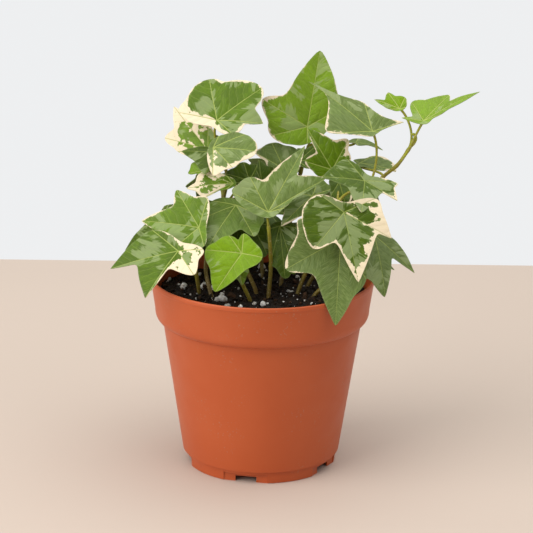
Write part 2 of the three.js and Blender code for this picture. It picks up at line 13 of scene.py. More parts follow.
import bmesh
import bpy
import numpy as np
from mathutils import Matrix, Vector, noise


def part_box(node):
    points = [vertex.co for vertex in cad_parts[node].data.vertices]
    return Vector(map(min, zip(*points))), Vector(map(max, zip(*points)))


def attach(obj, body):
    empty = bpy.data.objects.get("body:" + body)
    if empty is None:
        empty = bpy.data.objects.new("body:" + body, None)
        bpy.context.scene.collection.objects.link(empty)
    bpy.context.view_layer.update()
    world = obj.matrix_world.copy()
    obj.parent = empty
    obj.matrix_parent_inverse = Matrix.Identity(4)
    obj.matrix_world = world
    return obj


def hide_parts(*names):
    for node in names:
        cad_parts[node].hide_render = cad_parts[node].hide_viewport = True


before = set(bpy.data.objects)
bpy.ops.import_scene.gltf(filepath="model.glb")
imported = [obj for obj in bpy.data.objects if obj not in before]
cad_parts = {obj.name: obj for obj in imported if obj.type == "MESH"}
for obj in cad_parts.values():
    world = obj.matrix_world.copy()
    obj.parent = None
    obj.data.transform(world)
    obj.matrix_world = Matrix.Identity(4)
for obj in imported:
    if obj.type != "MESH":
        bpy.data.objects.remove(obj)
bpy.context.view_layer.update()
MM = 0.001

pot_low, pot_high = (np.array(corner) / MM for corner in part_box("pot"))
pot_axis = np.array([(pot_low[0] + pot_high[0]) / 2, (pot_low[1] + pot_high[1]) / 2, 0])


def to_frame(points):
    """Turns millimetres from the foot of the pot's axis into metres in the frame."""
    return (np.asarray(points, dtype=float) + pot_axis) * MM


def new_object(name, data):
    """An object in the scene."""
    made = bpy.data.objects.new(name, data)
    bpy.context.scene.collection.objects.link(made)
    return made


print("pot axis at", pot_axis.round(2), "mm; nodes:", len(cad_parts))

# %% [markdown]
# ## The camera
#
# The plant is seen from the front and a little above, from about a metre away with a long lens, so
# that the pot hardly narrows downwards by perspective. The camera's place and lens could be found
# by eye, but the pot is round and its size is known, so they were worked out from the width and
# the height of its rim and foot in the view.

# %% Camera
CAMERA_PLACE = [1.83, -1055, 414]  # mm from the foot of the pot's axis
CAMERA_PITCH = 16.61  # degrees below level
CAMERA_ROLL = 0.68  # degrees anticlockwise
CAMERA_LENS = 151.8  # mm on a 36 mm wide sensor

camera_data = bpy.data.cameras.new("camera")
camera_data.lens = CAMERA_LENS
camera = new_object("camera", camera_data)
camera_turn = (Matrix.Rotation(math.radians(90 - CAMERA_PITCH), 4, "X")
               @ Matrix.Rotation(math.radians(CAMERA_ROLL), 4, "Z"))
camera.matrix_world = Matrix.Translation(to_frame(CAMERA_PLACE)) @ camera_turn
bpy.context.scene.camera = camera
print("camera at", [round(value, 3) for value in camera.matrix_world.translation])

# %% [markdown]
# ## Node helpers
#
# Every finish below is a small network of shader nodes. Placing a node takes three steps: make it,
# set its properties, and link or set its inputs. One helper does all three, so that each finish
# reads as a list of what it is made of.

# %% Helpers for shader nodes
def feed(socket, value):
    """Links an input to a node's output, or sets it to a plain value."""
    if isinstance(value, bpy.types.NodeSocket):
        socket.id_data.links.new(value, socket)
    else:
        socket.default_value = value


def place(kind, inputs=None, tree=None, **properties):
    """Adds a node to a tree, or to the tree its inputs come from, and sets and feeds it."""
    inputs = inputs or {}
    if tree is None:
        tree = next(value.id_data for value in inputs.values() if isinstance(value, bpy.types.NodeSocket))
    node = tree.nodes.new(kind)
    for name, value in properties.items():
        setattr(node, name, value)
    for name, value in inputs.items():
        feed(node.inputs[name], value)
    return node


def calculate(operation, *values):
    """One sum on numbers and sockets."""
    return place("ShaderNodeMath", dict(enumerate(values)), operation=operation).outputs[0]


plus, minus, times, larger_of, size_of = (
    partial(calculate, operation) for operation in ("ADD", "SUBTRACT", "MULTIPLY", "MAXIMUM", "ABSOLUTE"))


def soft_step(value, low, high):
    """0 below low and 1 above high, with a soft change between them."""
    return place("ShaderNodeMapRange", {"Value": value, "From Min": low, "From Max": high},
                 interpolation_type="SMOOTHSTEP").outputs["Result"]


def between(mask, low, high):
    """Low where a mask is 0, and high where it is 1."""
    return place("ShaderNodeMapRange", {"Value": mask, "To Min": low, "To Max": high}).outputs["Result"]


def blend_colours(share, first, second):
    """The first colour where share is 0, and the second where it is 1."""
    return place("ShaderNodeMix", {"Factor": share, 6: first, 7: second}, data_type="RGBA").outputs[2]


def clouds(where, scale, detail=2.0):
    """Soft noise around 0.5."""
    return place("ShaderNodeTexNoise", {"Vector": where, "Scale": scale, "Detail": detail}).outputs["Fac"]


def three_numbers(*values):
    """A vector made of three numbers or sockets."""
    return place("ShaderNodeCombineXYZ", dict(enumerate(values))).outputs[0]


def parts_of(vector):
    """The three numbers of a vector or colour."""
    return place("ShaderNodeSeparateXYZ", {0: vector}).outputs


def read(tree, name, output="Fac"):
    """What a mesh carries under this name."""
    return place("ShaderNodeAttribute", tree=tree, attribute_name=name).outputs[output]


def own_place(tree):
    """Where a point lies on its object, in metres."""
    return place("ShaderNodeTexCoord", tree=tree).outputs["Object"]


def new_finish(name, roughness, specular):
    """A material with a Principled shader, whose even values are set on its own sockets."""
    material = bpy.data.materials.new(name)
    material.use_nodes = True
    shader = material.node_tree.nodes["Principled BSDF"]
    shader.inputs["Roughness"].default_value = roughness
    shader.inputs["Specular IOR Level"].default_value = specular
    return material, material.node_tree, shader


def dress(shader, colour, height, distance, strength=1.0, roughness=None):
    """Feeds the shader its colour, a height for its normal and, where it changes, its roughness."""
    feed(shader.inputs["Base Color"], colour)
    bump = place("ShaderNodeBump", {"Height": height, "Distance": distance, "Strength": strength})
    feed(shader.inputs["Normal"], bump.outputs[0])
    if roughness is not None:
        feed(shader.inputs["Roughness"], roughness)


def new_group(name, inputs, outputs):
    """An empty shader group with named inputs, each with its usual value, and named outputs."""
    group = bpy.data.node_groups.new(name, "ShaderNodeTree")
    for socket_name, usual in inputs.items():
        kind = "NodeSocketVector" if usual is None else "NodeSocketFloat"
        socket = group.interface.new_socket(socket_name, in_out="INPUT", socket_type=kind)
        if usual is not None:
            socket.default_value = usual
    for socket_name in outputs:
        group.interface.new_socket(socket_name, in_out="OUTPUT", socket_type="NodeSocketFloat")
    return group, group.nodes.new("NodeGroupInput").outputs, group.nodes.new("NodeGroupOutput").inputs


print("helpers ready")

# %% [markdown]
# ## Shared effects
#
# Two effects turn up in nearly every finish here. **Mottle** is a patchy mask: the grey-green
# patches of a leaf, the lighter and darker places of a stem and of the mix, and the faint
# clouding of moulded plastic. **Grain** is a fine height for the bump: the pores of a leaf, the
# skin of plastic and the fibres of bark. Each is one group with its own values in each material,
# so that a change to the effect reaches all of them.

# %% Group: mottle
mottle_group, given, made = new_group(
    "mottle", {"Place": None, "Scale": 1.0, "Detail": 2.0, "From": 0.4, "To": 0.6}, ["Mask"])
mottle_clouds = clouds(given["Place"], given["Scale"], given["Detail"])
feed(made["Mask"], soft_step(mottle_clouds, given["From"], given["To"]))


def mottle(where, scale, low, high, detail=2.0):
    """A patchy mask from the shared group."""
    values = {"Place": where, "Scale": scale, "From": low, "To": high, "Detail": detail}
    return place("ShaderNodeGroup", values, node_tree=mottle_group).outputs["Mask"]


# %% Group: grain
grain_group, given, made = new_group("grain", {"Place": None, "Scale": 1.0, "Pits": 0.3}, ["Height"])
grain_cells = place("ShaderNodeTexVoronoi", {"Vector": given["Place"], "Scale": given["Scale"]})
grain_pits = times(grain_cells.outputs["Distance"], given["Pits"])
feed(made["Height"], minus(clouds(given["Place"], given["Scale"], 4.0), grain_pits))


def grain(where, scale, pits):
    """A fine height from the shared group."""
    values = {"Place": where, "Scale": scale, "Pits": pits}
    return place("ShaderNodeGroup", values, node_tree=grain_group).outputs["Height"]


print("groups:", mottle_group.name, grain_group.name)

# %% [markdown]
# ## Pieces from points and faces
#
# The plant is hundreds of small surfaces: blades, petioles, crumbs. Modifiers would need an object
# for each. Here each surface is worked out as an array of points and faces, collected, and written
# into one mesh for each real piece, together with the values its material reads: how far a point
# lies from a leaf's edge, how old the leaf is, and so on.

# %% Collecting surfaces into one piece
CRISP_ANGLE = 50  # degrees; a sharper bend is shaded as an edge


class Collector:
    """Gathers the surfaces of one piece, and what its materials read at each point and corner."""

    def __init__(self, point_names=(), corner_names=()):
        self.points = []
        self.faces = []
        self.finishes = []
        self.point_values = {name: [] for name in point_names}
        self.corner_values = {name: [] for name in corner_names}
        self.count = 0

    def add(self, points, faces, finish=0, **values):
        """Adds a surface in millimetres from the pot's axis, with one finish."""
        self.points.append(np.asarray(points, dtype=float))
        self.faces.extend([[index + self.count for index in face] for face in faces])
        self.finishes.extend([finish] * len(faces))
        self.count += len(points)
        corner_count = sum(len(face) for face in faces)
        for name, kept in self.point_values.items():
            kept.append(np.broadcast_to(values.get(name, 0.0), len(points)))
        for name, kept in self.corner_values.items():
            kept.append(np.broadcast_to(values.get(name, 0.0), (corner_count, 3)))

    def piece(self, name, finishes, node):
        """Writes the mesh, puts the piece on the root body, gives it its finishes, and hides the part it
        stands for.
        """
        mesh = bpy.data.meshes.new(name)
        mesh.from_pydata(to_frame(np.vstack(self.points)).tolist(), [], self.faces)
        for value_name, kept in self.point_values.items():
            layer = mesh.attributes.new(value_name, "FLOAT", "POINT")
            layer.data.foreach_set("value", np.concatenate(kept).astype(np.float32))
        for value_name, kept in self.corner_values.items():
            layer = mesh.attributes.new(value_name, "FLOAT_VECTOR", "CORNER")
            layer.data.foreach_set("vector", np.vstack(kept).astype(np.float32).ravel())
        for finish in finishes:
            mesh.materials.append(finish)
        mesh.polygons.foreach_set("material_index", self.finishes)
        mesh.polygons.foreach_set("use_smooth", [True] * len(mesh.polygons))
        mesh.set_sharp_from_angle(angle=math.radians(CRISP_ANGLE))
        made = new_object(name, mesh)
        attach(made, "root")
        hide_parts(node)
        print(f"{name}: {len(mesh.vertices)} points, {len(mesh.polygons)} faces")
        return made


# %% [markdown]
# ## The pot
#
# A nursery pot is moulded in one piece from thin terracotta-coloured plastic: a rounded lip, a tall
# rim band, a soft shoulder under it, a tapered body, and a standing ring with low openings that
# let water out. It could be cut from a cylinder, but a moulded pot is round everywhere except at
# those openings, so its profile is turned about the axis, and only the openings are cut.

# %% Pot: profile
POT_HEIGHT = pot_high[2]
RIM_RADIUS = (pot_high[0] - pot_low[0]) / 2
WALL = 1.3
LIP = {"height": 2.4, "step": 0.4, "round": 0.5}
BAND_FOOT = (52.7, 79.3)  # radius and height of the rim band's lower edge
BODY_TOP = (49.0, 73.4)
BODY_FOOT = (38.9, 6.4)
FOOT = {"radius": 37.1, "height": 6.0, "ring": 2.4, "round": 0.4}
PLATE = {"rise": 3.5, "thickness": 1.4}
TURNS = 192


def arc(middle, radius, start, end, steps=5):
    """Points of a rounding, as [radius from the axis, height]; angles in degrees."""
    angles = np.radians(np.linspace(start, end, steps))
    return [[middle[0] + radius * math.cos(a), middle[1] + radius * math.sin(a)] for a in angles]


def sweep(start, guide, end, steps):
    """Points of a soft bend from start to end, drawn towards the guide point."""
    t = np.linspace(0, 1, steps)[:, None]
    start, guide, end = np.array(start), np.array(guide), np.array(end)
    return ((1 - t) ** 2 * start + 2 * t * (1 - t) * guide + t ** 2 * end).tolist()


def pot_profile():
    """From the middle of the underside round the foot, body, band and lip to the inside's middle."""
    ring_inside = FOOT["radius"] - FOOT["ring"]
    foot_round, lip_round = FOOT["round"], LIP["round"]
    foot_outside = FOOT["radius"] + foot_round
    lip_foot = POT_HEIGHT - LIP["height"]
    lip_middle = POT_HEIGHT - lip_round
    band_top = RIM_RADIUS - LIP["step"]
    plate_top = PLATE["rise"] + PLATE["thickness"]
    return [
        [0, PLATE["rise"]],
        [ring_inside - foot_round, PLATE["rise"]],
        [ring_inside, foot_round],
        *arc((ring_inside + foot_round, foot_round), foot_round, 180, 270),
        *arc((FOOT["radius"] - foot_round, foot_round), foot_round, 270, 360),
        *sweep([foot_outside, FOOT["height"] - foot_round], [foot_outside, BODY_FOOT[1]], BODY_FOOT, 4),
        *sweep(BODY_TOP, [BAND_FOOT[0] + 0.1, BODY_TOP[1] + 0.2], BAND_FOOT, 9),
        [band_top, lip_foot - lip_round],
        *arc((RIM_RADIUS - lip_round, lip_foot + lip_round), lip_round, 300, 360, 4),
        *arc((RIM_RADIUS - lip_round, lip_middle), lip_round, 0, 90),
        *arc((RIM_RADIUS - WALL + lip_round, lip_middle), lip_round, 90, 180),
        [band_top - WALL, lip_foot],
        [BAND_FOOT[0] - WALL, BAND_FOOT[1]],
        [BODY_TOP[0] - WALL, BODY_TOP[1] - WALL],
        [BODY_FOOT[0] - WALL, FOOT["height"]],
        [FOOT["radius"] - WALL, plate_top],
        [0, plate_top],
    ]


def circle(sides):
    """The cosine and sine of evenly spaced angles."""
    angles = 2 * np.pi * np.arange(sides) / sides
    return np.cos(angles), np.sin(angles)


def ring_faces(rings, sides):
    """Faces that join rings of points in order and close both ends at the two points after them."""
    count = rings * sides
    faces = []
    for side in range(sides):
        after = (side + 1) % sides
        for low in range(0, count - sides, sides):
            high = low + sides
            faces.append([low + side, low + after, high + after, high + side])
        faces.append([count, after, side])
        faces.append([count + 1, count - sides + side, count - sides + after])
    return faces


def turned_surface(profile, sides):
    """Points and faces of a profile that starts and ends on the axis, turned about it."""
    across, away = circle(sides)
    rings = [np.stack([r * across, r * away, np.full(sides, z)], axis=1) for r, z in profile[1:-1]]
    ends = [[0, 0, profile[0][1]], [0, 0, profile[-1][1]]]
    return np.vstack([*rings, ends]), ring_faces(len(rings), sides)


print("pot profile:", len(pot_profile()), "points")

# %% [markdown]
# The foot of the pot has five low drain openings, each in the middle of a panel that is set back
# two millimetres. A boolean modifier cuts them, and its result is applied, so that the piece stays
# one plain mesh. Edges sharper than the angle below stay crisp and the rest is shaded smooth.

# %% Pot: drain openings
DRAIN = {"count": 5, "first": -11.5, "width": 10.4, "height": 2.8}  # degrees from the front; mm
PANEL = {"width": 22.0, "height": 4.5, "depth": 2.0}
POT_CRISP_ANGLE = 32  # degrees


def box_cutter(width, height, inner_radius, angle):
    """A block standing across the foot, its inner face at a radius, turned to its own side."""
    depth = 2 * (BODY_FOOT[0] - inner_radius)
    block_place = (Matrix.Translation(to_frame([0, 0, 0])) @ Matrix.Rotation(angle, 4, "Z")
                   @ Matrix.Translation(Vector((0, -inner_radius - depth / 2, 0)) * MM)
                   @ Matrix.Diagonal((width * MM, depth * MM, 2 * height * MM, 1)))
    bm = bmesh.new()
    bmesh.ops.create_cube(bm, size=1, matrix=block_place)
    mesh = bpy.data.meshes.new("cutter")
    bm.to_mesh(mesh)
    bm.free()
    return new_object("cutter", mesh)


def cut_drains(pot):
    """Cuts each panel and the opening in its middle, and keeps the plain result."""
    blocks = [(PANEL["width"], PANEL["height"], FOOT["radius"] - PANEL["depth"]),
              (DRAIN["width"], DRAIN["height"], FOOT["radius"] - 2 * FOOT["ring"])]
    angles = [math.radians(DRAIN["first"] + 360 * number / DRAIN["count"])
              for number in range(DRAIN["count"])]
    cutters = [box_cutter(*block, angle) for angle in angles for block in blocks]
    for cutter in cutters:
        cut = pot.modifiers.new("drain", "BOOLEAN")
        cut.operation = "DIFFERENCE"
        cut.object = cutter
    shown = pot.evaluated_get(bpy.context.evaluated_depsgraph_get())
    mesh = bpy.data.meshes.new_from_object(shown)
    pot.modifiers.clear()
    pot.data = mesh
    for cutter in cutters:
        bpy.data.objects.remove(cutter)


# %% [markdown]
# The plastic is smooth and a little shiny, dyed right through. What keeps it from looking like paint is
# small: faint clouds in the colour, a roughness that changes where hands and boxes have rubbed it, a
# very fine skin, and a trace of dry mix in scattered specks.

# %% Pot: finish
TERRACOTTA = (0.46, 0.080, 0.016, 1)
TERRACOTTA_PALE = (0.51, 0.103, 0.027, 1)
DUST = (0.36, 0.20, 0.12, 1)


def pot_finish():
    """Moulded plastic: clouded colour, rubbed roughness, fine skin."""
    finish, tree, shader = new_finish("terracotta plastic", 0.42, 0.45)
    where = own_place(tree)
    cloudy = times(mottle(where, 28.0, 0.3, 0.75, 3.0), 0.55)
    colour = blend_colours(cloudy, TERRACOTTA, TERRACOTTA_PALE)
    dusty = times(mottle(where, 900.0, 0.66, 0.72, 1.0), mottle(where, 45.0, 0.45, 0.7))
    colour = blend_colours(times(dusty, 0.5), colour, DUST)
    rubbed = between(mottle(where, 60.0, 0.3, 0.7, 4.0), 0.4, 0.52)
    dress(shader, colour, grain(where, 700.0, 0.2), 0.00003, 0.6, rubbed)
    return finish


# %% Pot: the piece
pot_surface = Collector()
pot_surface.add(*turned_surface(pot_profile(), TURNS))
pot = pot_surface.piece("nursery_pot", [pot_finish()], "pot")
cut_drains(pot)
pot.data.set_sharp_from_angle(angle=math.radians(POT_CRISP_ANGLE))
print("pot:", len(pot.data.polygons), "faces after cutting")

# %% [markdown]
# ## The potting mix
#
# Potting mix is dark peat with chips of bark, a few fibres and white grains of perlite, a puffed
# volcanic glass. A bump on a flat disc would look painted from a low view, so the surface is a
# finely raised disc, and hundreds of separate crumbs are strewn over it: small lumps stretched,
# dented and turned at random from a fixed seed.

# %% Mix: the ground
SOIL = {"level": 87.0, "gap": 0.3, "relief": 1.1, "edge_drop": 1.0, "fine": 0.9}
SOIL_RINGS, SOIL_SIDES = 90, 240
SOIL_RADIUS = BAND_FOOT[0] - WALL - SOIL["gap"]


def soil_height(x, y):
    """The uneven level of the mix, in millimetres, dropping a little at the wall."""
    broad = np.sin(x * 0.19 + 1) * np.cos(y * 0.23)
    fine = np.sin(x * 0.61 - y / 3) * np.sin(y * 0.71 + x / 3)
    drop = SOIL["edge_drop"] * (np.hypot(x, y) / SOIL_RADIUS) ** 6
    return SOIL["level"] + SOIL["relief"] * (0.6 * broad + 0.4 * fine) - drop


def crumbly_height(x, y):
    """The level with small lumps on it."""
    lumps = [noise.noise(Vector((a * 0.55, b * 0.55, 0))) + 0.6 * noise.noise(Vector((a * 1.3, b * 1.3, 5)))
             for a, b in zip(np.ravel(x), np.ravel(y))]
    return soil_height(x, y) + SOIL["fine"] * np.array(lumps).reshape(np.shape(x))


def ground_surface():
    """A disc of rings, raised into crumbs, with a side wall down the inside of the pot."""
    radii = SOIL_RADIUS * (np.arange(1, SOIL_RINGS + 1) / SOIL_RINGS)
    x, y = (np.outer(radii, part) for part in circle(SOIL_SIDES))
    top = np.stack([x, y, crumbly_height(x, y)], axis=2).reshape(-1, 3)
    foot = top[-SOIL_SIDES:] * [1, 1, 0] + [0, 0, BAND_FOOT[1]]
    ends = [[0, 0, float(soil_height(0.0, 0.0))], [0, 0, BAND_FOOT[1]]]
    faces = [[face[0], *face[:0:-1]] for face in ring_faces(SOIL_RINGS + 1, SOIL_SIDES)]
    return np.vstack([top, foot, ends]), faces


# %% Mix: crumbs
DARK, WHITE = 0, 1  # the mix's two finishes
HEAPS = [  # count, least and greatest size in mm, shape, dents, fineness, lift and finish
    (900, (0.5, 1.6), [1, 0.8, 0.6], 0.12, 1, 0.2, DARK),
    (260, (1.0, 3.0), [1, 0.55, 0.35], 0.1, 1, 0.15, DARK),
    (150, (0.3, 1.1), [1, 0.9, 0.8], 0.12, 1, 0.35, WHITE),
    (38, (1.1, 2.8), [1, 0.85, 0.7], 0.1, 2, 0.25, WHITE),
]
FIBRE = {"count": 130, "radius": 0.16, "sides": 4, "points": 6, "shortest": 3, "spare": 6,
         "bend": 0.6, "lift": 0.25, "from_wall": 0.6}
random = np.random.default_rng(7)


def ball(steps):
    """Points and faces of a round lump."""
    bm = bmesh.new()
    bmesh.ops.create_icosphere(bm, subdivisions=steps, radius=1)
    points = np.array([vertex.co[:] for vertex in bm.verts])
    faces = [[vertex.index for vertex in face.verts] for face in bm.faces]
    bm.free()
    return points, faces


def any_turn():
    """A random rotation matrix."""
    matrix, _ = np.linalg.qr(random.normal(size=(3, 3)))
    return matrix * np.sign(np.linalg.det(matrix))


def strew(surface, count, sizes, shape, dents, steps, lift, finish):
    """Lays dented lumps on the ground, their middle lifted by a share of their size."""
    points, faces = ball(steps)
    for _ in range(count):
        size = sizes[0] + (sizes[1] - sizes[0]) * random.random() ** 2.2
        reach = (SOIL_RADIUS - size) * math.sqrt(random.random())
        bearing = 2 * math.pi * random.random()
        x = reach * math.cos(bearing)
        y = reach * math.sin(bearing)
        lump = points * (1 + dents * random.normal(size=(len(points), 1)).clip(-1.5, 1.5))
        lump = (lump * shape * size) @ any_turn().T
        surface.add(lump + [x, y, float(crumbly_height(x, y)) + lift * size], faces, finish,
                    tint=random.random())


def add_fibres(surface):
    """Short bent roots and fibres lying on the mix."""
    shares = np.linspace(0, 1, FIBRE["points"])
    for _ in range(FIBRE["count"]):
        bearing = 2 * math.pi * random.random()
        reach = SOIL_RADIUS * 0.95 * math.sqrt(random.random())
        start = np.array([reach * math.cos(bearing), reach * math.sin(bearing)])
        way = 2 * math.pi * random.random()
        step = (FIBRE["shortest"] + FIBRE["spare"] * random.random()) / FIBRE["points"]
        turns = way + random.normal() * FIBRE["bend"] * shares
        flat = start + np.cumsum(np.stack([np.cos(turns), np.sin(turns)], 1) * step, axis=0)
        flat *= np.minimum(1, (SOIL_RADIUS - FIBRE["from_wall"]) / np.hypot(*flat.T))[:, None]
        path = np.column_stack([flat, crumbly_height(*flat.T) + FIBRE["lift"]])
        points, faces = tube(path, np.full(len(path), FIBRE["radius"]), FIBRE["sides"])
        surface.add(points, faces, DARK, tint=0.55 + 0.4 * random.random())


# %% [markdown]
# A tube along a path is needed for fibres here and for stems and petioles below. Each ring of the
# tube is turned as little as possible from the ring before it, so that the tube doesn't twist.

# %% Tube along a path
def unit(vector):
    """The vector's direction."""
    return vector / np.linalg.norm(vector)


def tube(path, radii, sides):
    """Points and faces of a closed tube along a path."""
    ways = np.array([unit(step) for step in np.gradient(path, axis=0)])
    side = np.cross(ways[0], [0.3, 0.5, 0.81])
    across, away = circle(sides)
    rings = []
    for centre, way, radius in zip(path, ways, radii):
        side = unit(side - way * side.dot(way))
        rings.append(centre + radius * (np.outer(across, side) + np.outer(away, np.cross(way, side))))
    return np.vstack([*rings, path[:1], path[-1:]]), ring_faces(len(path), sides)


# %% Mix: finishes
PEAT_DARK = (0.012, 0.008, 0.006, 1)
PEAT_BROWN = (0.014, 0.007, 0.0022, 1)
BARK = (0.060, 0.028, 0.012, 1)
PERLITE = (0.72, 0.71, 0.68, 1)
PERLITE_STAIN = (0.42, 0.36, 0.29, 1)


def peat_finish():
    """Peat and bark: nearly black and moist, some crumbs brown; rough and fibrous."""
    finish, tree, shader = new_finish("peat and bark", 0.8, 0.2)
    where = own_place(tree)
    patches = mottle(where, 420.0, 0.35, 0.7, 4.0)
    woody = soft_step(read(tree, "tint"), 0.5, 1.0)
    bark_share = times(woody, plus(mottle(where, 900.0, 0.3, 0.7, 3.0), 0.25))
    colour = blend_colours(bark_share, blend_colours(patches, PEAT_DARK, PEAT_BROWN), BARK)
    moist = between(patches, 0.62, 0.95)
    dress(shader, colour, grain(where, 1400.0, 0.5), 0.0004, roughness=moist)
    return finish


def perlite_finish():
    """Perlite: chalky white, stained by the peat, full of small pits."""
    finish, tree, shader = new_finish("perlite", 0.85, 0.3)
    where = own_place(tree)
    colour = blend_colours(mottle(where, 500.0, 0.45, 0.75, 4.0), PERLITE, PERLITE_STAIN)
    dress(shader, colour, grain(where, 1600.0, 1.0), 0.0005)
    return finish


# %% Mix: the piece
soil_surface = Collector(point_names=["tint"])
soil_surface.add(*ground_surface())
for heap in HEAPS:
    strew(soil_surface, *heap)
add_fibres(soil_surface)
soil_surface.piece("potting_mix", [peat_finish(), perlite_finish()], "soil")

# %% [markdown]
# ## Where the ivy grows
#
# The ivy's stems and leaves were drawn as they are seen from the front and a little above: each
# place is [right, up, near], in millimetres to the right of the pot's axis, above the middle of
# its rim, and towards the viewer. Working in that view keeps each blade's outline as it is drawn,
# however the blade is tilted and however near it lies. A leaf has the place of its joint, where
# petiole and veins meet, the direction that its upper face looks in, and its outline, clockwise
# from the petiole: lobe tip, sinus, lobe tip and so on. Leaves of the hidden side share one
# outline, and give a length and a turn instead.

# %% The tilted view
VIEW_TILT = math.radians(17)
VIEW_DISTANCE = 1103.0  # mm from the middle of the rim
RIM_MIDDLE = np.array([0, 0, POT_HEIGHT])
RIGHT = np.array([1.0, 0, 0])
UP = np.array([0, math.sin(VIEW_TILT), math.cos(VIEW_TILT)])
TOWARDS = np.array([0, -math.cos(VIEW_TILT), math.sin(VIEW_TILT)])
EYE = RIM_MIDDLE + VIEW_DISTANCE * TOWARDS


def seen_point(seen):
    """The place that is seen at [right, up] and lies this near; nearer things look larger."""
    right, up, near = seen
    scale = (VIEW_DISTANCE - near) / VIEW_DISTANCE
    return RIM_MIDDLE + scale * (right * RIGHT + up * UP) + near * TOWARDS


def seen_on_plane(seen, point, normal):
    """Where the line of sight through [right, up] meets the plane through a point."""
    sight = seen_point([*seen, 0]) - EYE
    return EYE + sight * ((point - EYE).dot(normal) / sight.dot(normal))


# %% Looks of the leaves
# age: 0 an old dark leaf, 1 a young lime one. grey: share of pale patches. Then a grey film over the whole
# leaf, partly its own grey cast and partly painted sheen.
# cream: width of the cream margin, in millimetres.
LOOKS = {look: dict(zip(("age", "grey", "haze", "cream"), values)) for look, values in {
    "dark": (0.05, 0, 0, 0.1),
    "deep": (0.38, 0.2, 0.35, 0.15),
    "slate": (0.15, 0, 0.6, 0.15),
    "greyed": (0.3, 0.3, 0.6, 0.2),
    "contrast": (0.2, 0.55, 0, 0.3),
    "patched": (0.42, 0.42, 0, 0.3),
    "green": (0.6, 0.05, 0, 0.3),
    "bright": (0.97, 0.35, 0.2, 0.15),
    "pale": (0.65, 0.35, 0.05, 0.3),
    "lime": (1, 0.12, 0, 0.15),
}.items()}
# The common outline of the hidden leaves: an angle from the longest lobe and a share of its length.
COMMON_BLADE = [(-108, 0.56), (-80, 0.44), (-52, 0.74), (-27, 0.5), (0, 1),
                (27, 0.5), (52, 0.74), (80, 0.44), (108, 0.56)]

# %% Stems and leaves
STEMS = []


def stem_through(*path, bud=None):
    """Starts a stem with the places it passes through, and those of its bud if it has one."""
    STEMS.append({"node": f"ivy_stem_{len(STEMS) + 1:02d}", "path": path, "bud": bud, "leaves": []})


def leaf_at(share, joint, face, look, *edge, **own):
    """Adds a leaf that leaves the last stem at a share of its length."""
    STEMS[-1]["leaves"].append({"at": share, "joint": joint, "face": face, "look": look, "edge": edge, **own})


# `cream` is the cream margin's width in millimetres at the notch and then at each corner in turn.
# `full` is how far the edges bow outwards, and `notch` how deep the notch at the petiole is, both as
# shares. Without an outline, the common one gets a `length` and a `turn` from downhill, in degrees.
stem_through([-25, -12, 9], [-28, 3, 4], [-25, 20, 0], [-20, 36, -2], [-18, 48, -4], [-21, 57, -6])
leaf_at(0.98, [-23.3, 75.5, 2], [-10, 40], "patched", [-42, 78.5], [-37.5, 84.5], [-27, 94.5], [-20, 92.5],
        [-0.8, 91.5], [-6, 80.5], [-0.3, 74], [-10, 74.3], [-15, 68], full=0.15,
        cream=[4, 9, 1.2, 0.4, 1.2, 0.9, 0.4, 0.3, 0.9, 1.6])
leaf_at(0.97, [-27.5, 61, -6], [-30, 30], "pale", [-41, 59.5], [-43.5, 61.8], [-48.8, 66.5], [-42.5, 70.5],
        [-44.5, 82.3], [-33, 74], [-27, 73], [-24, 68], [-20, 66], cream=[1, 3, 4, 6, 4, 7, 3, 1.5, 1, 1])
leaf_at(0.85, [-25, 62, 14], [0, 45], "greyed", [-22.5, 67], [-19, 67.8], [-10, 68.3], [-6.5, 66.5],
        [-4, 60.3], [-11.5, 55.5], [-16, 52.5], [-19.5, 51], [-25, 47.5], full=0.12,
        cream=[0.3, 0.1, 0.1, 0.1, 0.3, 1.2, 1.8, 2.3, 2.6, 3])
leaf_at(0.78, [-24, 59.5, 3], [-30, 45], "dark", [-23, 52], [-25.5, 52], [-28.3, 48.2], [-33, 55],
        [-40.7, 60], [-34, 61.3], [-27, 61.8])
leaf_at(0.68, [-28, 51, -3], [-30, 40], "bright", [-31, 48.8], [-33, 49.2], [-37, 49], [-36.3, 52],
        [-34, 54.8], [-30, 53], [-28, 53])
leaf_at(0.58, [-15, 44.5, 9], [-10, 45], "pale", [-18, 41.5], [-23, 41], [-28.5, 37.3], [-33, 40.5],
        [-38, 42], [-33, 44.5], [-31, 49], [-25, 49], [-18, 47.8],
        cream=[0.2, 0.2, 0.3, 1, 3, 5, 4, 4, 2.5, 0.4])
leaf_at(0.4, [-24, 29, -14], [-150, 50], "green", length=22, turn=-10)
leaf_at(0.6, [-25, 47, -23], [-155, 45], "greyed", length=20, turn=8)

stem_through([-31, -9, 4], [-33, 3, 8], [-34, 15, 9])
leaf_at(0.97, [-31.5, 22.7, 22], [-10, 40], "pale", [-28.5, 12.5], [-36, 13], [-42, 13], [-46.5, 18.5],
        [-60.3, 25.5], [-43, 31.5], [-42.8, 41], [-34, 36.2], [-27, 37.6],
        cream=[0.5, 0.2, 0.2, 0.2, 0.5, 0.5, 1.2, 0.3, 0.9, 1.1])
leaf_at(0.75, [-41.5, 11, 34], [-20, 45], "patched", [-28.3, 11.3], [-31.5, 6], [-33, -1.8], [-46, 3.5],
        [-57.5, -13], [-60, 5], [-75, 1.5], [-59, 16.5], [-54, 20.5],
        cream=[1.5, 4, 5, 9, 1.5, 0.2, 0.1, 0.1, 0.1, 0.2])
leaf_at(0.6, [-50, 24, 6], [-50, 30], "dark", [-52, 10], [-56, 13], [-68, 11], [-60, 20.5], [-58, 22.5],
        [-51, 27], [-46, 33.7], [-42, 30], [-40, 28])

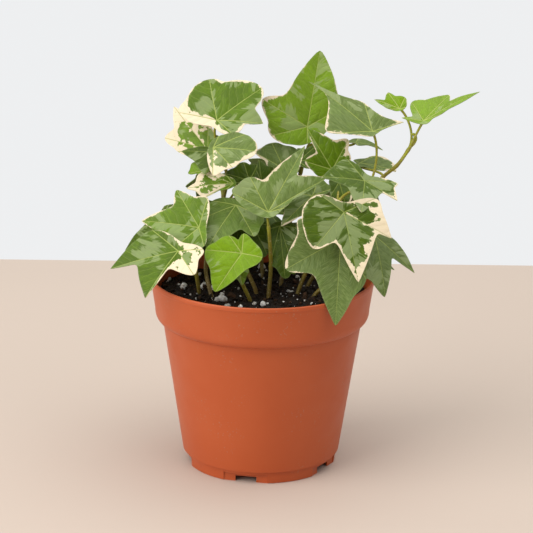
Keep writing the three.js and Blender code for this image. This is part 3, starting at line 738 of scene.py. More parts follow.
stem_through([-3, -9, 2], [-9, 5, 4], [-13, 20, 2], [-12, 36, 0], [-8, 46, -2])
leaf_at(0.7, [-13.5, 34, 9], [0, 50], "deep", [0.3, 27], [-1.5, 23], [-4.5, 18], [-11, 22.5], [-27.5, 12.3],
        [-28.5, 22], [-28.5, 27], [-26.5, 30], [-25.5, 35.3])
leaf_at(0.9, [-7, 46, 1], [0, 30], "dark", [-11, 42.5], [-13, 43], [-18, 44], [-17, 47], [-18.8, 49.5],
        [-14, 52], [-10, 55], [-7, 53.5], [-3, 54])
leaf_at(0.5, [-6, 26, 5], [0, 30], "dark", [3, 24], [2, 18], [2, 10], [-2, 8], [-8, 6], [-11, 13], [-16, 21])
leaf_at(0.4, [-14, 30, -10], [-30, 68], "deep", length=20, turn=60)

stem_through([-6, -12.5, 15], [-9, -6.5, 18], [-12.5, 0.5, 22])
leaf_at(0.97, [-10.3, 10.3, 32], [0, 35], "lime", [-9.5, 20], [-5, 15.7], [0.3, 8], [-9, 2.2],
        [-23.5, -9.7], [-25, 2], [-28, 11.5], [-23, 15], [-16.5, 18.5], notch=0.25)
leaf_at(0.9, [-11.5, 1.2, 25], [0, 30], "bright", [-6.5, 2.5], [-8, -1], [-9.8, -5.7], [-12, -2.5],
        [-15.5, -1.5])

stem_through([3, -11, 9], [4, 4, 12], [3.5, 14, 16], [2.6, 24, 20])
leaf_at(0.97, [2.4, 30.7, 22], [0, 30], "greyed", [-15.8, 39.8], [-12.3, 43.3], [-6.5, 47], [0.3, 44.4],
        [20.5, 64], [14.3, 47], [31.7, 48.2], [14.5, 37.5], [9, 32.3],
        cream=[0.1, 0.3, 0.3, 0.3, 1.6, 0.2, 1, 0.2, 0.2, 0.2])
leaf_at(0.5, [8, 24, 8], [0, 30], "dark", [17, 23], [16, 15], [16, 1], [14, 1], [11, -1.5], [7, 3], [4, 6],
        [3.5, 14], [2, 22])

stem_through([9, -5, -9], [12, 20, -10], [16, 42, -11], [20, 58, -12], [22, 64, -12])
leaf_at(0.97, [21, 73, -6], [0, 10], "bright", [3.5, 68.5], [2.3, 76], [-1.5, 86.5], [11, 87], [27, 111.8],
        [35, 89.5], [37, 82], [31, 72], [21, 65], notch=0.28,
        cream=[0.2, 1.2, 1, 1.8, 0.6, 0.1, 0.5, 1, 0.4, 0.1])
leaf_at(0.8, [33.5, 52, 4], [0, 15], "green", [28, 48.3], [24, 51.5], [19.8, 56], [26.8, 60], [20.5, 72.8],
        [34, 65.5], [41.3, 67], [40.7, 61.5], [42.5, 56.3],
        cream=[0.1, 0.1, 0.4, 0.8, 1, 0.1, 1.2, 1.6, 2.2, 0.6])
leaf_at(0.7, [10, 52, -8], [-10, 30], "greyed", [2.5, 52.5], [1, 56], [-5, 60.3], [-1, 62], [4, 64.2],
        [10, 63], [16.5, 61], [17, 56], [17, 50], cream=[0.3, 1.5, 1.2, 1, 0.3, 0.3, 0.2, 0.3, 0.2, 0.2])
leaf_at(0.55, [-1, 45, -4], [0, 30], "dark", [-5, 44], [-5, 48], [-5, 54.5], [-3.5, 53], [-2.5, 56.4],
        [1, 53], [5, 52], [4, 47], [4, 43])
leaf_at(0.85, [17, 56, -4], [0, 40], "dark", [14, 57], [15, 60], [18, 62], [20, 61], [26, 63.7], [28, 60],
        [30, 57], [26, 55], [22, 52])
leaf_at(0.45, [24, 39, 6], [0, 45], "deep", [20, 30], [17, 28], [8.5, 23.5], [11, 31], [12, 40], [19, 42],
        [27, 47], [31, 44], [36, 43], cream=[0.2, 0.6, 0.8, 1, 0.3, 0.2, 0.2, 0.2, 0.2, 0.2])
leaf_at(0.92, [45, 65.5, -13], [30, 80], "greyed", [40, 65], [42, 66], [46, 67], [50, 65.8], [58.5, 61.7],
        [51, 63.8], [46, 63.5])
leaf_at(0.3, [8, 24, -6], [-30, 65], "dark", length=22, turn=-20)
leaf_at(0.75, [28, 58, -27], [160, 45], "patched", length=24, turn=6)

stem_through([22, -5, -8], [34, 12, -3], [45, 30, 2], [51, 42, 5])
leaf_at(0.97, [53, 71, 14], [5, 40], "greyed", [28.5, 68.3], [31.5, 87], [21, 95.5], [38, 87.3],
        [48.5, 84.7], [58, 77.5], [68.5, 75], [59, 71.8], [56, 70.3], full=-0.04,
        cream=[0.5, 1.2, 0.5, 0.1, 0.2, 0.6, 0.3, 0.9, 0.2, 0.1])

stem_through([29, -4, -14], [42, 20, -11], [52, 40, -8], [58.5, 48.7, -3], [65.5, 54.7, 2], [71.7, 63.6, 5],
             bud=[[71.7, 63.6, 5], [73.4, 65.6, 5.5], [74.2, 68, 6], [73.3, 69.8, 6.4], [71.9, 69.6, 6.6]])
leaf_at(0.97, [66.3, 82.3, 5], [-10, 35], "lime", [62, 81.8], [58, 83.6], [53.6, 86.8], [59.4, 85.7],
        [60.3, 90.3], [64, 87.9], [68.8, 87.6], [69.8, 85.4], [69.2, 82.8],
        cream=[0.1, 0.1, 0.1, 0.2, 0.1, 0.3, 0.2, 0.3, 0.4, 0.2])
leaf_at(0.82, [78, 76.3, 10], [0, 60], "bright", [67, 77], [73.5, 77.5], [71.8, 84.8], [79, 84.8],
        [90.8, 88.6], [90, 84.3], [106, 91], [90, 81.7], [82, 77.5],
        cream=[0.1, 0.1, 0.1, 0.2, 0.5, 0.7, 0.5, 0.1, 0.1, 0.1])
leaf_at(0.2, [50, 14, -3], [75, 45], "dark", length=20, turn=20)
leaf_at(0.45, [54, 41, -16], [95, 14], "deep", length=17, turn=4)
leaf_at(0.65, [47, 55.5, -17], [10, 70], "greyed", [43.5, 56.5], [50, 57], [55, 58.6], [62, 55.5],
        [65, 51.3], [61, 52], [58, 51.5], [49, 53], [46, 53.5],
        cream=[0.1, 0.2, 0.6, 0.9, 1, 1.2, 0.9, 0.3, 0.2, 0.2])

stem_through([17, -10, 6], [24, 8, 12], [31, 24, 16], [38, 38, 18])
leaf_at(0.85, [39.5, 31, 47], [5, 25], "contrast", [55.5, 38], [58, 30.5], [63.3, 18], [55.2, 21.8],
        [47, -4.3], [36, 17.8], [24.3, 11.8], [18.2, 31.5], [27, 39.8], full=0.05,
        cream=[0.4, 2.2, 3.2, 7, 3, 1.8, 1.2, 1.2, 0.8, 1.2])
leaf_at(0.97, [49.5, 46.5, 38], [10, 50], "contrast", [66, 45.3], [63.5, 42.5], [65.8, 36.3], [57.5, 41.5],
        [48, 29.8], [42, 43.5], [29, 48], [35, 53], [40.5, 56.7],
        cream=[0.1, 0.8, 0.8, 1.4, 0.3, 0.3, 0.2, 0.2, 0.1, 0.1])
leaf_at(0.9, [37, 46, 12], [0, 30], "dark", [43, 46], [44, 42], [40.5, 34], [36, 36], [33, 39], [33, 43],
        [32, 47], cream=[0.2, 0.2, 0.6, 0.9, 0.4, 0.2, 0.2, 0.2])

stem_through([25, -11, 8], [34, -2, 14], [42, 8, 18], [48, 14, 20])
leaf_at(0.8, [38, 18, 39], [0, 25], "slate", [52, 12], [50, 4], [50.5, -1.5], [44, -10.5], [36, -25.5],
        [26.3, 1.8], [10.5, 2], [17.8, 19.5], [17, 28], full=0.07,
        cream=[0.1, 0.1, 0.1, 0.1, 0.1, 0.2, 0.4, 0.9, 0.6, 0.6])
leaf_at(0.97, [54.5, 20, 22], [30, 35], "slate", [60, 20], [66, 14.3], [74.5, 1], [61.3, 10.8], [60.3, -11],
        [53, -2.5], [47, 2], [46, 10], [46, 16])

stem_through([-21, -2, -21], [-28, 10, -24], [-34, 20, -27], [-36, 27, -29])
leaf_at(0.7, [-48, 18, -15], [-110, 40], "green", length=24, turn=-10)
leaf_at(0.95, [-40, 31, -31], [-140, 40], "greyed", length=27, turn=8)
leaf_at(0.8, [-30, 19, -44], [-152, 30], "bright", length=26, turn=-6)
leaf_at(0.97, [-25, 34, -24], [-165, 50], "green", length=21, turn=15)
leaf_at(0.5, [-33, 17, -14], [-80, 60], "dark", length=20, turn=10)

stem_through([0, -1, -23], [-1, 14, -27], [2, 28, -28], [4, 40, -26])
leaf_at(0.8, [-8, 35, -39], [-172, 38], "green", length=28, turn=-8,
        cream=[0.3, 0.5, 0.5, 1, 1, 2.5, 1, 1, 0.5, 0.5])
leaf_at(0.97, [8, 45, -26], [170, 45], "bright", length=25, turn=10)
leaf_at(0.6, [12, 23, -47], [168, 28], "deep", length=25, turn=4)
leaf_at(0.5, [-12, 20, -18], [-60, 66], "dark", length=22, turn=-15)
leaf_at(0.7, [6, 31, -20], [40, 68], "deep", length=22, turn=160)
leaf_at(0.97, [4, 55, -34], [-175, 50], "green", length=23, turn=-5)

stem_through([20, 0, -24], [26, 14, -28], [31, 27, -28], [30, 36, -25])
leaf_at(0.85, [38, 36, -29], [140, 42], "greyed", length=26, turn=-8,
        cream=[0.4, 0.6, 1, 3, 1.5, 1.6, 0.6, 0.5, 0.4, 0.4])
leaf_at(0.6, [44, 22, -26], [122, 38], "green", length=22, turn=6)
leaf_at(0.7, [34, 20, -45], [152, 28], "deep", length=25, turn=5)
leaf_at(0.97, [24, 42, -20], [165, 48], "bright", length=22, turn=12)
leaf_at(0.5, [22, 21, -20], [150, 66], "dark", length=20, turn=8)
print("stems:", len(STEMS), "leaves:", sum(len(stem["leaves"]) for stem in STEMS))

# %% [markdown]
# ## A blade
#
# An ivy blade is a thin sheet with three to five lobes. Its main veins run straight from the joint
# to the lobe tips and lie in shallow grooves, and the blade is arched along its length. A cut-out
# texture on a flat card would give the outline but no edge, groove or curve. Here the outline is
# sampled finely, its sinuses are rounded, and rings of points join it to the joint. That makes a
# net in which every main vein and every border between two lobes is a line of points, so that the
# material can be told exactly how far along and beside a vein each point lies.

# %% Blade: frame and outline
BLADE = {"thickness": 0.32, "notch": 0.1, "full": 0.09, "curl": 0.15, "fold": 0.12, "wave": 0.6}
POINTED_ANGLE, ROUND_ANGLE = 40, 95  # inner angles of a pointed and of a round lobe, in degrees
EVEN_BOW, SLIM_BOW = 1.5, 5.5  # how far an edge bows out beside a round and beside a pointed lobe
POINTED_SOFTNESS, ROUND_SOFTNESS, SINUS_SOFTNESS, EDGE_SOFTNESS = 0.04, 0.5, 0.4, 0.5
SOFTENING_PASSES = 10
NEAR_CORNER = 0.3  # of an edge, on either side of a corner
ROUND_SWELL = 0.04  # how far a round lobe is pushed out, because softening draws it in
FOLD_PASSES = 4
POINTS_PER_EDGE = 10
BLADE_RINGS = 15
EDGE_INSET = 0.09  # how far the rounded edge reaches beyond the two faces


def blade_frame(leaf):
    """The joint, the direction across, along the longest lobe and up from the blade, and corners."""
    joint = seen_point(leaf["joint"])
    azimuth, elevation = np.radians(leaf["face"])
    normal = np.array([math.sin(azimuth) * math.cos(elevation),
                       -math.cos(azimuth) * math.cos(elevation), math.sin(elevation)])
    if leaf["edge"]:
        places = np.array([seen_on_plane(seen, joint, normal) - joint for seen in leaf["edge"]])
        along = unit(max(places[::2], key=np.linalg.norm))
        across = np.cross(along, normal)
        return joint, across, along, normal, np.stack([places @ across, places @ along], axis=1)
    downhill = unit(np.array([0, 0, -1.0]) + normal * normal[2])
    turn = math.radians(leaf["turn"])
    along = downhill * math.cos(turn) + np.cross(normal, downhill) * math.sin(turn)
    corners = np.array([[share * math.sin(math.radians(angle)), share * math.cos(math.radians(angle))]
                        for angle, share in COMMON_BLADE])
    return joint, np.cross(along, normal), along, normal, corners * leaf["length"]


def notched(leaf, corners):
    """The corners with the notch at the petiole put first."""
    bearings = np.unwrap(np.arctan2(corners[:, 0], corners[:, 1]))
    middle = (bearings[0] + bearings[-1]) / 2 + math.pi
    depth = leaf.get("notch", BLADE["notch"]) * np.linalg.norm(corners, axis=1).max()
    return np.vstack([[depth * math.sin(middle), depth * math.cos(middle)], corners])


def bluntness(loop):
    """For each corner, 0 where its inner angle is that of a pointed lobe and 1 for a round one."""
    back, ahead = np.roll(loop, 1, axis=0) - loop, np.roll(loop, -1, axis=0) - loop
    cosines = (back * ahead).sum(1) / np.linalg.norm(back, axis=1) / np.linalg.norm(ahead, axis=1)
    angles = np.degrees(np.arccos(np.clip(cosines, -1, 1)))
    blunt = np.clip((angles - POINTED_ANGLE) / (ROUND_ANGLE - POINTED_ANGLE), 0, 1)
    return blunt ** 2 * (3 - 2 * blunt)


def between_neighbours(loop):
    """The middle between each point's two neighbours."""
    return (np.roll(loop, 1, axis=0) + np.roll(loop, -1, axis=0)) / 2


def fine_outline(leaf, corners):
    """Every edge sampled and bowed, full beside a round lobe and slim towards a pointed tip."""
    loop = notched(leaf, corners)
    blunt = bluntness(loop)
    tips = np.arange(len(loop)) % 2 == 1
    loop = loop * (1 + ROUND_SWELL * blunt * tips)[:, None]
    shares = np.arange(POINTS_PER_EDGE)[:, None] / POINTS_PER_EDGE
    outline = []
    for number, (here, after) in enumerate(zip(loop, np.roll(loop, -1, axis=0))):
        step = after - here
        from_tip = shares if tips[number] else 1 - shares
        roundness = blunt[number] if tips[number] else blunt[number + 1]
        even_bow = EVEN_BOW * 4 * shares * (1 - shares)
        slim_bow = SLIM_BOW * (1 - from_tip) * from_tip ** 2
        bow = leaf.get("full", BLADE["full"]) * (roundness * even_bow + (1 - roundness) * slim_bow)
        outline.append(here + step * shares + np.array([-step[1], step[0]]) * bow)
    outline = np.vstack(outline)
    tip_softness = POINTED_SOFTNESS + (ROUND_SOFTNESS - POINTED_SOFTNESS) * blunt
    softness = np.where(tips, tip_softness, SINUS_SOFTNESS)
    edge_place = np.arange(len(outline)) / POINTS_PER_EDGE
    corner = np.round(edge_place)
    near_corner = np.abs(edge_place - corner) < NEAR_CORNER
    softness = np.where(near_corner, softness[corner.astype(int) % len(loop)], EDGE_SOFTNESS)[:, None]
    for _ in range(SOFTENING_PASSES):
        outline = outline + softness * (between_neighbours(outline) - outline)
    return outline


# %% Blade: height, and what the material reads
def blade_height(points, corners, seed):
    """How high the blade stands above its plane, on the net of rings and outline points."""
    length = np.linalg.norm(corners, axis=1).max()
    reach = np.linalg.norm(points, axis=2)
    share = np.minimum(reach / length, 1)
    bearing = np.arctan2(points[..., 0], points[..., 1])
    veins = np.arctan2(corners[::2, 0], corners[::2, 1])
    turns = np.abs((bearing[..., None] - veins + np.pi) % (2 * np.pi) - np.pi).min(axis=2)
    fold = reach * np.sin(np.minimum(turns, np.pi / 2))
    for _ in range(FOLD_PASSES):
        fold = (fold + between_neighbours(fold.T).T) / 2
    wave = np.sin(5 * bearing + seed) + 0.6 * np.sin(11 * bearing + 2.3 * seed)
    return (BLADE["curl"] * length * (share - share ** 2) + BLADE["fold"] * fold
            + BLADE["wave"] * wave * share ** 3)


def gap_to_edge(points, outline):
    """How far each flat point lies from the outline, in millimetres."""
    flat = points.reshape(-1, 1, 2)
    start = outline[None]
    step = np.roll(outline, -1, axis=0)[None] - start
    share = np.clip(((flat - start) * step).sum(2) / (step ** 2).sum(2), 0, 1)
    return np.linalg.norm(flat - start - share[..., None] * step, axis=2).min(axis=1)


def margin_widths(leaf, around):
    """The cream margin's width at each outline point, from the widths given for the corners."""
    given = np.atleast_1d(leaf.get("cream", LOOKS[leaf["look"]]["cream"]))
    widths = np.append(given, given[0])
    return np.interp(np.arange(around), np.linspace(0, around, len(widths)), widths)


# %% Blade: the net of points and faces
LEAF, STALK = 0, 1  # the ivy's two finishes


def blade_faces(around):
    """The upper face's net, the same net turned over for the under face, and the edge."""
    here = np.arange(around)
    after = (here + 1) % around

    def band(inner, outer):
        """Faces between two rings, or two stacks of rings, given by their first points."""
        return np.stack([inner + after, outer + after, outer + here, inner + here], axis=-1)

    rings = 1 + around * np.arange(BLADE_RINGS)[:, None]
    last = 1 + around * (BLADE_RINGS - 1)
    under = last + around
    fan = np.stack([0 * here, 1 + after, 1 + here], axis=1)
    upper = fan.tolist() + band(rings[:-1], rings[1:]).reshape(-1, 4).tolist()
    lower = [[under + index for index in face[::-1]] for face in upper]
    edge = np.stack([band(last, 2 * under), band(2 * under, under + last)], axis=1)
    return upper + lower + edge.reshape(-1, 4).tolist()


def add_blade(surface, leaf, seed):
    """One blade: an upper and an under face joined by a rounded edge."""
    joint, across, along, normal, corners = blade_frame(leaf)
    outline = fine_outline(leaf, corners)
    around = len(outline)
    inset = EDGE_INSET / np.maximum(np.linalg.norm(outline, axis=1), 1)
    shares = (np.arange(1, BLADE_RINGS + 1) / BLADE_RINGS)[:, None, None]
    flat = outline[None] * (1 - inset)[None, :, None] * shares

    def on_blade(middle, rings, rim):
        """Values for the joint and the rings, the same for the under face, and for the rim."""
        net = np.concatenate([[middle], rings.reshape(-1, *np.shape(middle))])
        return np.concatenate([net, net, rim])

    faces = blade_faces(around)
    sizes = [len(face) for face in faces]

    def on_corners(by_outline):
        """A value for each outline point, as one for each corner of each face."""
        by_face = np.concatenate([np.tile(by_outline, 2 * BLADE_RINGS), np.repeat(by_outline, 2)])
        return np.repeat(by_face, sizes)

    heights = blade_height(flat, corners, seed)
    places = on_blade([0.0, 0.0], flat, outline)
    under = on_blade(0.0, 0 * heights, np.full(around, 0.5))
    under[1 + heights.size:-around] = 1
    level = on_blade(0.0, heights, heights[-1]) + (0.5 - under) * BLADE["thickness"]
    points = joint + places[:, :1] * across + places[:, 1:] * along + level[:, None] * normal

    tips = corners[::2] / np.linalg.norm(corners[::2], axis=1)[:, None]
    edges = np.arange(around) // POINTS_PER_EDGE
    vein = tips[on_corners(edges // 2)]
    field = on_corners((edges + 1) // 2 % len(tips))
    corner = places[np.concatenate(faces)]
    beside = corner[:, 0] * vein[:, 1] - corner[:, 1] * vein[:, 0]
    widths = margin_widths(leaf, around)
    look = LOOKS[leaf["look"]]
    surface.add(
        points, faces, LEAF,
        vein_map=np.column_stack([(corner * vein).sum(1), beside, np.full(len(beside), seed)]),
        blade_map=np.column_stack([corner, 9.0 * field + 31.0 * seed]),
        edge_gap=on_blade(10.0, gap_to_edge(flat, outline), np.zeros(around)),
        margin=on_blade(widths.mean(), np.tile(widths, BLADE_RINGS), widths),
        age=look["age"] + 0.06 * math.sin(9 * seed), grey=look["grey"], haze=look["haze"], under=under)


# %% [markdown]
# ## The leaf's finish
#
# Variegated ivy has green in the middle and cream at the edge, where the outer cell layer has no
# green. The border between them isn't smooth: it steps from one side vein to the next, so it looks
# torn. Between them lie grey-green patches where a pale layer covers a green one. Painting this on
# each leaf would take days, so it is worked out from what each point knows: how far it lies from
# the edge, how wide the cream is at that lobe, and where it lies along and beside its main vein.
# Noise that is stretched along the side veins gives the torn border and the blocky patches.

# %% Group: side veins
veins_group, given, made = new_group(
    "veins", {"Along": 0.0, "Beside": 0.0, "Waver": 0.5, "Spacing": 4.6},
    ["Main", "Side", "Puff", "Order", "Away"])
vein_away = size_of(given["Beside"])
vein_order = minus(given["Along"], times(vein_away, 0.85))
vein_width = larger_of(0.14, minus(0.36, times(given["Along"], 0.007)))
vein_main = minus(1.0, soft_step(vein_away, times(vein_width, 0.45), vein_width))
vein_bent = plus(vein_order, times(minus(given["Waver"], 0.5), 5.0))
vein_offset = times(calculate("GREATER_THAN", given["Beside"], 0.0), 0.5)
vein_steps = plus(calculate("DIVIDE", vein_bent, given["Spacing"]), vein_offset)
vein_from_line = size_of(minus(calculate("FRACT", vein_steps), 0.5))
vein_gap = times(vein_from_line, times(given["Spacing"], 0.76))
feed(made["Main"], vein_main)
feed(made["Side"], minus(1.0, soft_step(vein_gap, 0.05, 0.24)))
feed(made["Puff"], times(soft_step(vein_gap, 0.0, 1.6), soft_step(vein_away, 0.0, 2.0)))
feed(made["Order"], vein_order)
feed(made["Away"], vein_away)
print("group:", veins_group.name)

# %% Leaf: finish
OLD_GREEN = (0.046, 0.084, 0.005, 1)
RIPE_GREEN = (0.095, 0.180, 0.004, 1)
YOUNG_GREEN = (0.175, 0.315, 0.004, 1)
GREY_GREEN = (0.320, 0.390, 0.180, 1)
CREAM = (0.775, 0.665, 0.470, 1)
VEIN_GREEN = (0.400, 0.480, 0.120, 1)
STREAK_GREEN = (0.270, 0.400, 0.020, 1)
UNDER_GREEN = (0.260, 0.340, 0.120, 1)


def leaf_finish():
    """Green with grey-green patches, a grey film that is partly painted sheen, a torn cream margin, pale
    veins, and a paler underside.
    """
    finish, tree, shader = new_finish("ivy leaf", 0.45, 0.18)
    along, beside, seed = parts_of(read(tree, "vein_map", "Vector"))
    where = read(tree, "blade_map", "Vector")
    veins = place("ShaderNodeGroup", {"Along": along, "Beside": beside, "Waver": clouds(where, 0.13, 1.0)},
                  node_tree=veins_group).outputs
    order, away = veins["Order"], veins["Away"]
    torn = clouds(three_numbers(times(order, 1.1), times(away, 0.28), seed), 1.0, 4.0)
    torn_shift = times(minus(torn, 0.5), 0.16)
    field_order = plus(times(order, 0.28), times(torn_shift, 3.5))
    field_place = three_numbers(field_order, times(away, 0.12), parts_of(where)["Z"])
    fields = place("ShaderNodeTexVoronoi", {"Vector": field_place, "Scale": 1.0})
    field = parts_of(fields.outputs["Color"])["X"]
    field_shift = plus(torn_shift, times(minus(field, 0.5), 0.2))

    age = read(tree, "age")
    green = blend_colours(soft_step(age, 0.0, 0.62), OLD_GREEN, RIPE_GREEN)
    green = blend_colours(soft_step(age, 0.45, 1.0), green, YOUNG_GREEN)
    streaks = mottle(three_numbers(times(order, 2.2), times(away, 0.5), seed), 1.0, 0.35, 0.8, 4.0)
    green = blend_colours(times(streaks, 0.2), green, STREAK_GREEN)
    flecks = mottle(where, 1.1, 0.4, 0.7, 4.0)
    green = blend_colours(times(flecks, 0.2), green, OLD_GREEN)

    deep_edge = plus(0.5, field_shift)
    deep = mottle(where, 0.105, deep_edge, plus(deep_edge, 0.05))
    deep_share = minus(0.85, times(age, 0.65))
    green = blend_colours(times(deep, deep_share), green, blend_colours(0.6, green, OLD_GREEN))
    # Painted sheen: a grey film over the whole blade, partly the leaf's own grey cast and partly the window's
    # sheen painted into the colour.
    cast_and_painted_sheen = times(read(tree, "haze"), plus(0.3, times(streaks, 0.4)))
    green = blend_colours(cast_and_painted_sheen, green, GREY_GREEN)
    patch_place = place("ShaderNodeVectorMath", {0: where, 1: (50.0, 20.0, 5.0)}, operation="ADD").outputs[0]
    patch_edge = minus(minus(0.66, times(read(tree, "grey"), 0.3)), field_shift)
    patches = mottle(patch_place, 0.055, patch_edge, plus(patch_edge, 0.04))
    grey = blend_colours(0.6, green, GREY_GREEN)
    colour = blend_colours(times(patches, 0.85), green, grey)

    width_share = calculate("POWER", times(clouds(where, 0.2, 3.0), 2.0), 2.2)
    reach = times(read(tree, "margin"), width_share)
    teeth = times(torn_shift, plus(3.0, times(reach, 4.0)))
    inside = minus(read(tree, "edge_gap"), minus(plus(reach, teeth), 0.36))
    pale_band = minus(1.0, soft_step(inside, 0.2, 1.0))
    colour = blend_colours(times(pale_band, 0.3), colour, grey)
    cream = minus(1.0, soft_step(inside, -0.12, 0.12))
    colour = blend_colours(cream, colour, CREAM)

    line = larger_of(times(veins["Main"], 0.75), times(veins["Side"], 0.14))
    line = times(line, plus(0.4, times(soft_step(age, 0.0, 0.4), 0.6)))
    colour = blend_colours(line, colour, VEIN_GREEN)
    under = read(tree, "under")
    below = times(under, minus(0.75, times(cream, 0.6)))
    colour = blend_colours(below, colour, UNDER_GREEN)

    grooves = plus(veins["Main"], times(veins["Side"], 0.3))
    skin = plus(times(grain(where, 1.6, 0.3), 0.5), times(veins["Puff"], 0.6))
    dress(shader, colour, minus(skin, grooves), 0.00016, roughness=between(under, 0.36, 0.6))
    return finish


# %% [markdown]
# ## Stems and petioles
#
# Ivy stems are thin and woody below, greener above, with a slight knot where each petiole leaves.
# A petiole is the leaf's own stalk: it leaves along the stem, curves out and meets the blade from
# below. Each is a tube along a smooth curve through chosen points. The stem's curve is a centripetal
# Catmull-Rom curve, which passes through all its points without loops.

# %% Stems: curves
STEM = {"radius": 1.1, "tip_share": 0.75, "sides": 14, "steps": 12, "knot": 0.22, "knot_width": 0.018}
PETIOLE = {"radius": 0.75, "sides": 10, "steps": 22, "reach": 0.35, "below": 0.8, "behind": 0.6,
           "waist": 0.78, "foot": 0.35, "head": 0.12, "end": 0.6}
BUD = {"radius": 0.75, "sides": 10, "steps": 24, "swell": 0.3, "taper": 0.35}
HOLE_DEPTH = 7.45  # how far a stem reaches down into its hole in the mix


def stem_points(stem):
    """The points of a stem's curve, from its foot in the mix."""
    path = [seen_point(seen) for seen in stem["path"]]
    ground = path[0] * [1, 1, 0] + [0, 0, SOIL["level"]]
    return np.array([ground - [0, 0, HOLE_DEPTH], ground, *path[1:]])


def curve_through(points, share):
    """The point at a share of a centripetal Catmull-Rom curve."""
    ends = np.vstack([2 * points[0] - points[1], points, 2 * points[-1] - points[-2]])
    place_on = share * (len(points) - 1)
    span = min(int(place_on), len(points) - 2)
    before, start, end, after = ends[span:span + 4]
    first, second, third = (np.linalg.norm(gap) ** 0.5 for gap in (start - before, end - start, after - end))
    leave = ((start - before) / first - (end - before) / (first + second) + (end - start) / second) * second
    arrive = ((end - start) / second - (after - start) / (second + third) + (after - end) / third) * second
    t = place_on - span
    return (start + leave * t + (3 * (end - start) - 2 * leave - arrive) * t ** 2
            + (2 * (start - end) + leave + arrive) * t ** 3)


def petiole_path(leaf, points):
    """A bend from the stem to the blade's joint, arriving from below and behind."""
    joint, _, along, normal, _ = blade_frame(leaf)
    foot, before, after = (curve_through(points, np.clip(leaf["at"] + step, 0, 1))
                           for step in (0, -1e-4, 1e-4))
    bend = PETIOLE["reach"] * np.linalg.norm(joint - foot)
    leave = foot + bend * unit(after - before)
    arrive = joint - bend * (PETIOLE["below"] * normal + PETIOLE["behind"] * along)
    t = np.linspace(0, 1, PETIOLE["steps"])[:, None]
    return (1 - t) ** 3 * foot + 3 * t * (1 - t) ** 2 * leave + 3 * t ** 2 * (1 - t) * arrive + t ** 3 * joint


# %% Stems: surfaces
def add_stalk(surface, path, radii, youth, sides):
    """A tube whose points know how young they are and how far along it they lie."""
    steps = np.linalg.norm(np.diff(path, axis=0), axis=1)
    youth, length = (np.concatenate([np.repeat(values, sides), values[[0, -1]]])
                     for values in (youth, np.concatenate([[0], np.cumsum(steps)])))
    surface.add(*tube(path, radii, sides), STALK, youth=youth, length=length)


def add_stem(surface, stem):
    """The stem with a knot at each petiole."""
    points = stem_points(stem)
    shares = np.linspace(0, 1, STEM["steps"] * (len(points) - 1) + 1)
    path = np.array([curve_through(points, share) for share in shares])
    radii = STEM["radius"] * (1 - (1 - STEM["tip_share"]) * shares)
    for leaf in stem["leaves"]:
        radii = radii * (1 + STEM["knot"] * np.exp(-((shares - leaf["at"]) / STEM["knot_width"]) ** 2))
    add_stalk(surface, path, radii, 0.75 * shares, STEM["sides"])


def add_petiole(surface, leaf, points):
    """A petiole, wider at its foot and where it meets the blade."""
    path = petiole_path(leaf, points)
    shares = np.linspace(0, 1, len(path))
    ends = PETIOLE["foot"] * (1 - shares) ** 6 + PETIOLE["head"] * shares ** 8
    radii = PETIOLE["radius"] * (PETIOLE["waist"] + ends)
    radii[-1] *= PETIOLE["end"]
    youth = 0.55 + 0.3 * LOOKS[leaf["look"]]["age"] + 0.2 * shares
    add_stalk(surface, path, radii, youth, PETIOLE["sides"])


def add_bud(surface, seen_path):
    """A curled young bud at a stem's end."""
    points = np.array([seen_point(seen) for seen in seen_path])
    shares = np.linspace(0, 1, BUD["steps"])
    path = np.array([curve_through(points, share) for share in shares])
    radii = BUD["radius"] + BUD["swell"] * np.sin(np.pi * shares) - BUD["taper"] * shares
    add_stalk(surface, path, radii, np.full(len(path), 0.95), BUD["sides"])


# %% Stems: finish
WOOD_BROWN = (0.140, 0.090, 0.018, 1)
STALK_OLIVE = (0.260, 0.230, 0.018, 1)
STALK_GREEN = (0.350, 0.380, 0.020, 1)
LENTICEL = (0.420, 0.330, 0.180, 1)


def stem_finish():
    """Brown wood that turns olive and then yellow-green, with pale pores and fine ribs."""
    finish, tree, shader = new_finish("ivy stem", 0.5, 0.4)
    youth = read(tree, "youth")
    where = own_place(tree)
    colour = blend_colours(soft_step(youth, 0.1, 0.5), WOOD_BROWN, STALK_OLIVE)
    colour = blend_colours(soft_step(youth, 0.5, 0.95), colour, STALK_GREEN)
    colour = blend_colours(times(mottle(where, 350.0, 0.35, 0.7, 3.0), 0.3), colour, WOOD_BROWN)
    colour = blend_colours(times(mottle(where, 1500.0, 0.66, 0.72, 0.0), 0.6), colour, LENTICEL)
    rings = clouds(three_numbers(times(read(tree, "length"), 0.4), 0.0, 0.0), 2.0)
    dress(shader, colour, plus(grain(where, 1200.0, 0.3), rings), 0.00015, 0.7)
    return finish


# %% Ivy: one piece for each leafy stem
ivy_finishes = [leaf_finish(), stem_finish()]
for number, stem in enumerate(STEMS):
    surface = Collector(["edge_gap", "margin", "age", "grey", "haze", "under", "youth", "length"],
                        ["vein_map", "blade_map"])
    add_stem(surface, stem)
    for place_in_stem, leaf in enumerate(stem["leaves"]):
        add_petiole(surface, leaf, stem_points(stem))
        add_blade(surface, leaf, 1 + number * 1.7 + place_in_stem * 0.61)
    if stem["bud"]:
        add_bud(surface, stem["bud"])
    surface.piece(stem["node"].replace("ivy", "leafy"), ivy_finishes, stem["node"])


# %% [markdown]
# ## Table and light
#
# The plant stands near the back edge of a plain pale table. A wall behind it would hide it from the
# back, so there is none: the room is the world's own pale tone. The camera sees that tone as it is,
# and the plant gets less light from it than from the lamps, because a room that is lit evenly from
# all sides makes leaves look flat. A big area lamp on the left is the window, another overhead is
# the light from a pale ceiling, and a weak one on the right keeps the shadows open.

# %% Table
TABLE_BACK = 342.0  # mm behind the pot's axis
TABLE_FRONT, TABLE_SIDE = 2500.0, 2500.0
TABLE_TONE = (0.60, 0.505, 0.435, 1)

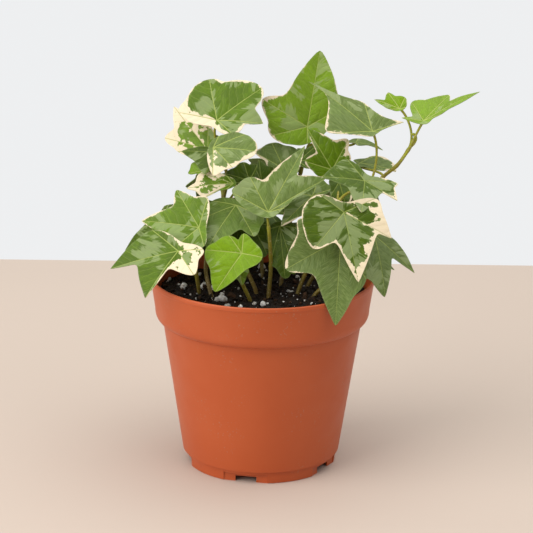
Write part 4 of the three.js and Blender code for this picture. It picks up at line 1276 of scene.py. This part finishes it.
table_finish, table_tree, table_shader = new_finish("pale table", 0.6, 0.2)
table_darker = tuple(0.95 * part for part in TABLE_TONE[:3]) + (1,)
table_clouds = mottle(own_place(table_tree), 3.0, 0.2, 0.8)
feed(table_shader.inputs["Base Color"], blend_colours(table_clouds, TABLE_TONE, table_darker))
table_corners = [[-TABLE_SIDE, -TABLE_FRONT, 0], [TABLE_SIDE, -TABLE_FRONT, 0],
                 [TABLE_SIDE, TABLE_BACK, 0], [-TABLE_SIDE, TABLE_BACK, 0]]
table_mesh = bpy.data.meshes.new("table")
table_mesh.from_pydata(to_frame(table_corners).tolist(), [], [[0, 1, 2, 3]])
table_mesh.materials.append(table_finish)
table = new_object("table", table_mesh)

# %% Lights
LAMPS = {  # place and size in millimetres, power in watts, tone
    "window": ([-1600, -1000, 1150], 2000, 42, (1.0, 0.98, 0.94)),
    "fill": ([1300, -1200, 700], 1300, 1, (0.96, 0.98, 1.0)),
    "ceiling": ([300, -50, 1900], 3000, 47, (1.0, 0.98, 0.94)),
}
for lamp_name, (lamp_place, lamp_size, power, tone) in LAMPS.items():
    lamp_data = bpy.data.lights.new(lamp_name, "AREA")
    lamp_data.size = lamp_size * MM
    lamp_data.energy = power
    lamp_data.color = tone
    lamp = new_object(lamp_name, lamp_data)
    lamp.location = to_frame(lamp_place)
    aim = Vector(to_frame(RIM_MIDDLE)) - lamp.location
    lamp.rotation_euler = aim.to_track_quat("-Z", "Y").to_euler()

ROOM_TONE = (0.855, 0.865, 0.875, 1)
ROOM_LIGHT = 0.38  # of the tone, as light on the plant

world = bpy.data.worlds.new("room")
world.use_nodes = True
room = world.node_tree.nodes["Background"]
room.inputs["Color"].default_value = ROOM_TONE
seen_directly = place("ShaderNodeLightPath", tree=world.node_tree).outputs["Is Camera Ray"]
feed(room.inputs["Strength"], between(seen_directly, ROOM_LIGHT, 1.0))
bpy.context.scene.world = world
bpy.context.scene.view_settings.view_transform = "Standard"
print("lamps:", ", ".join(LAMPS))
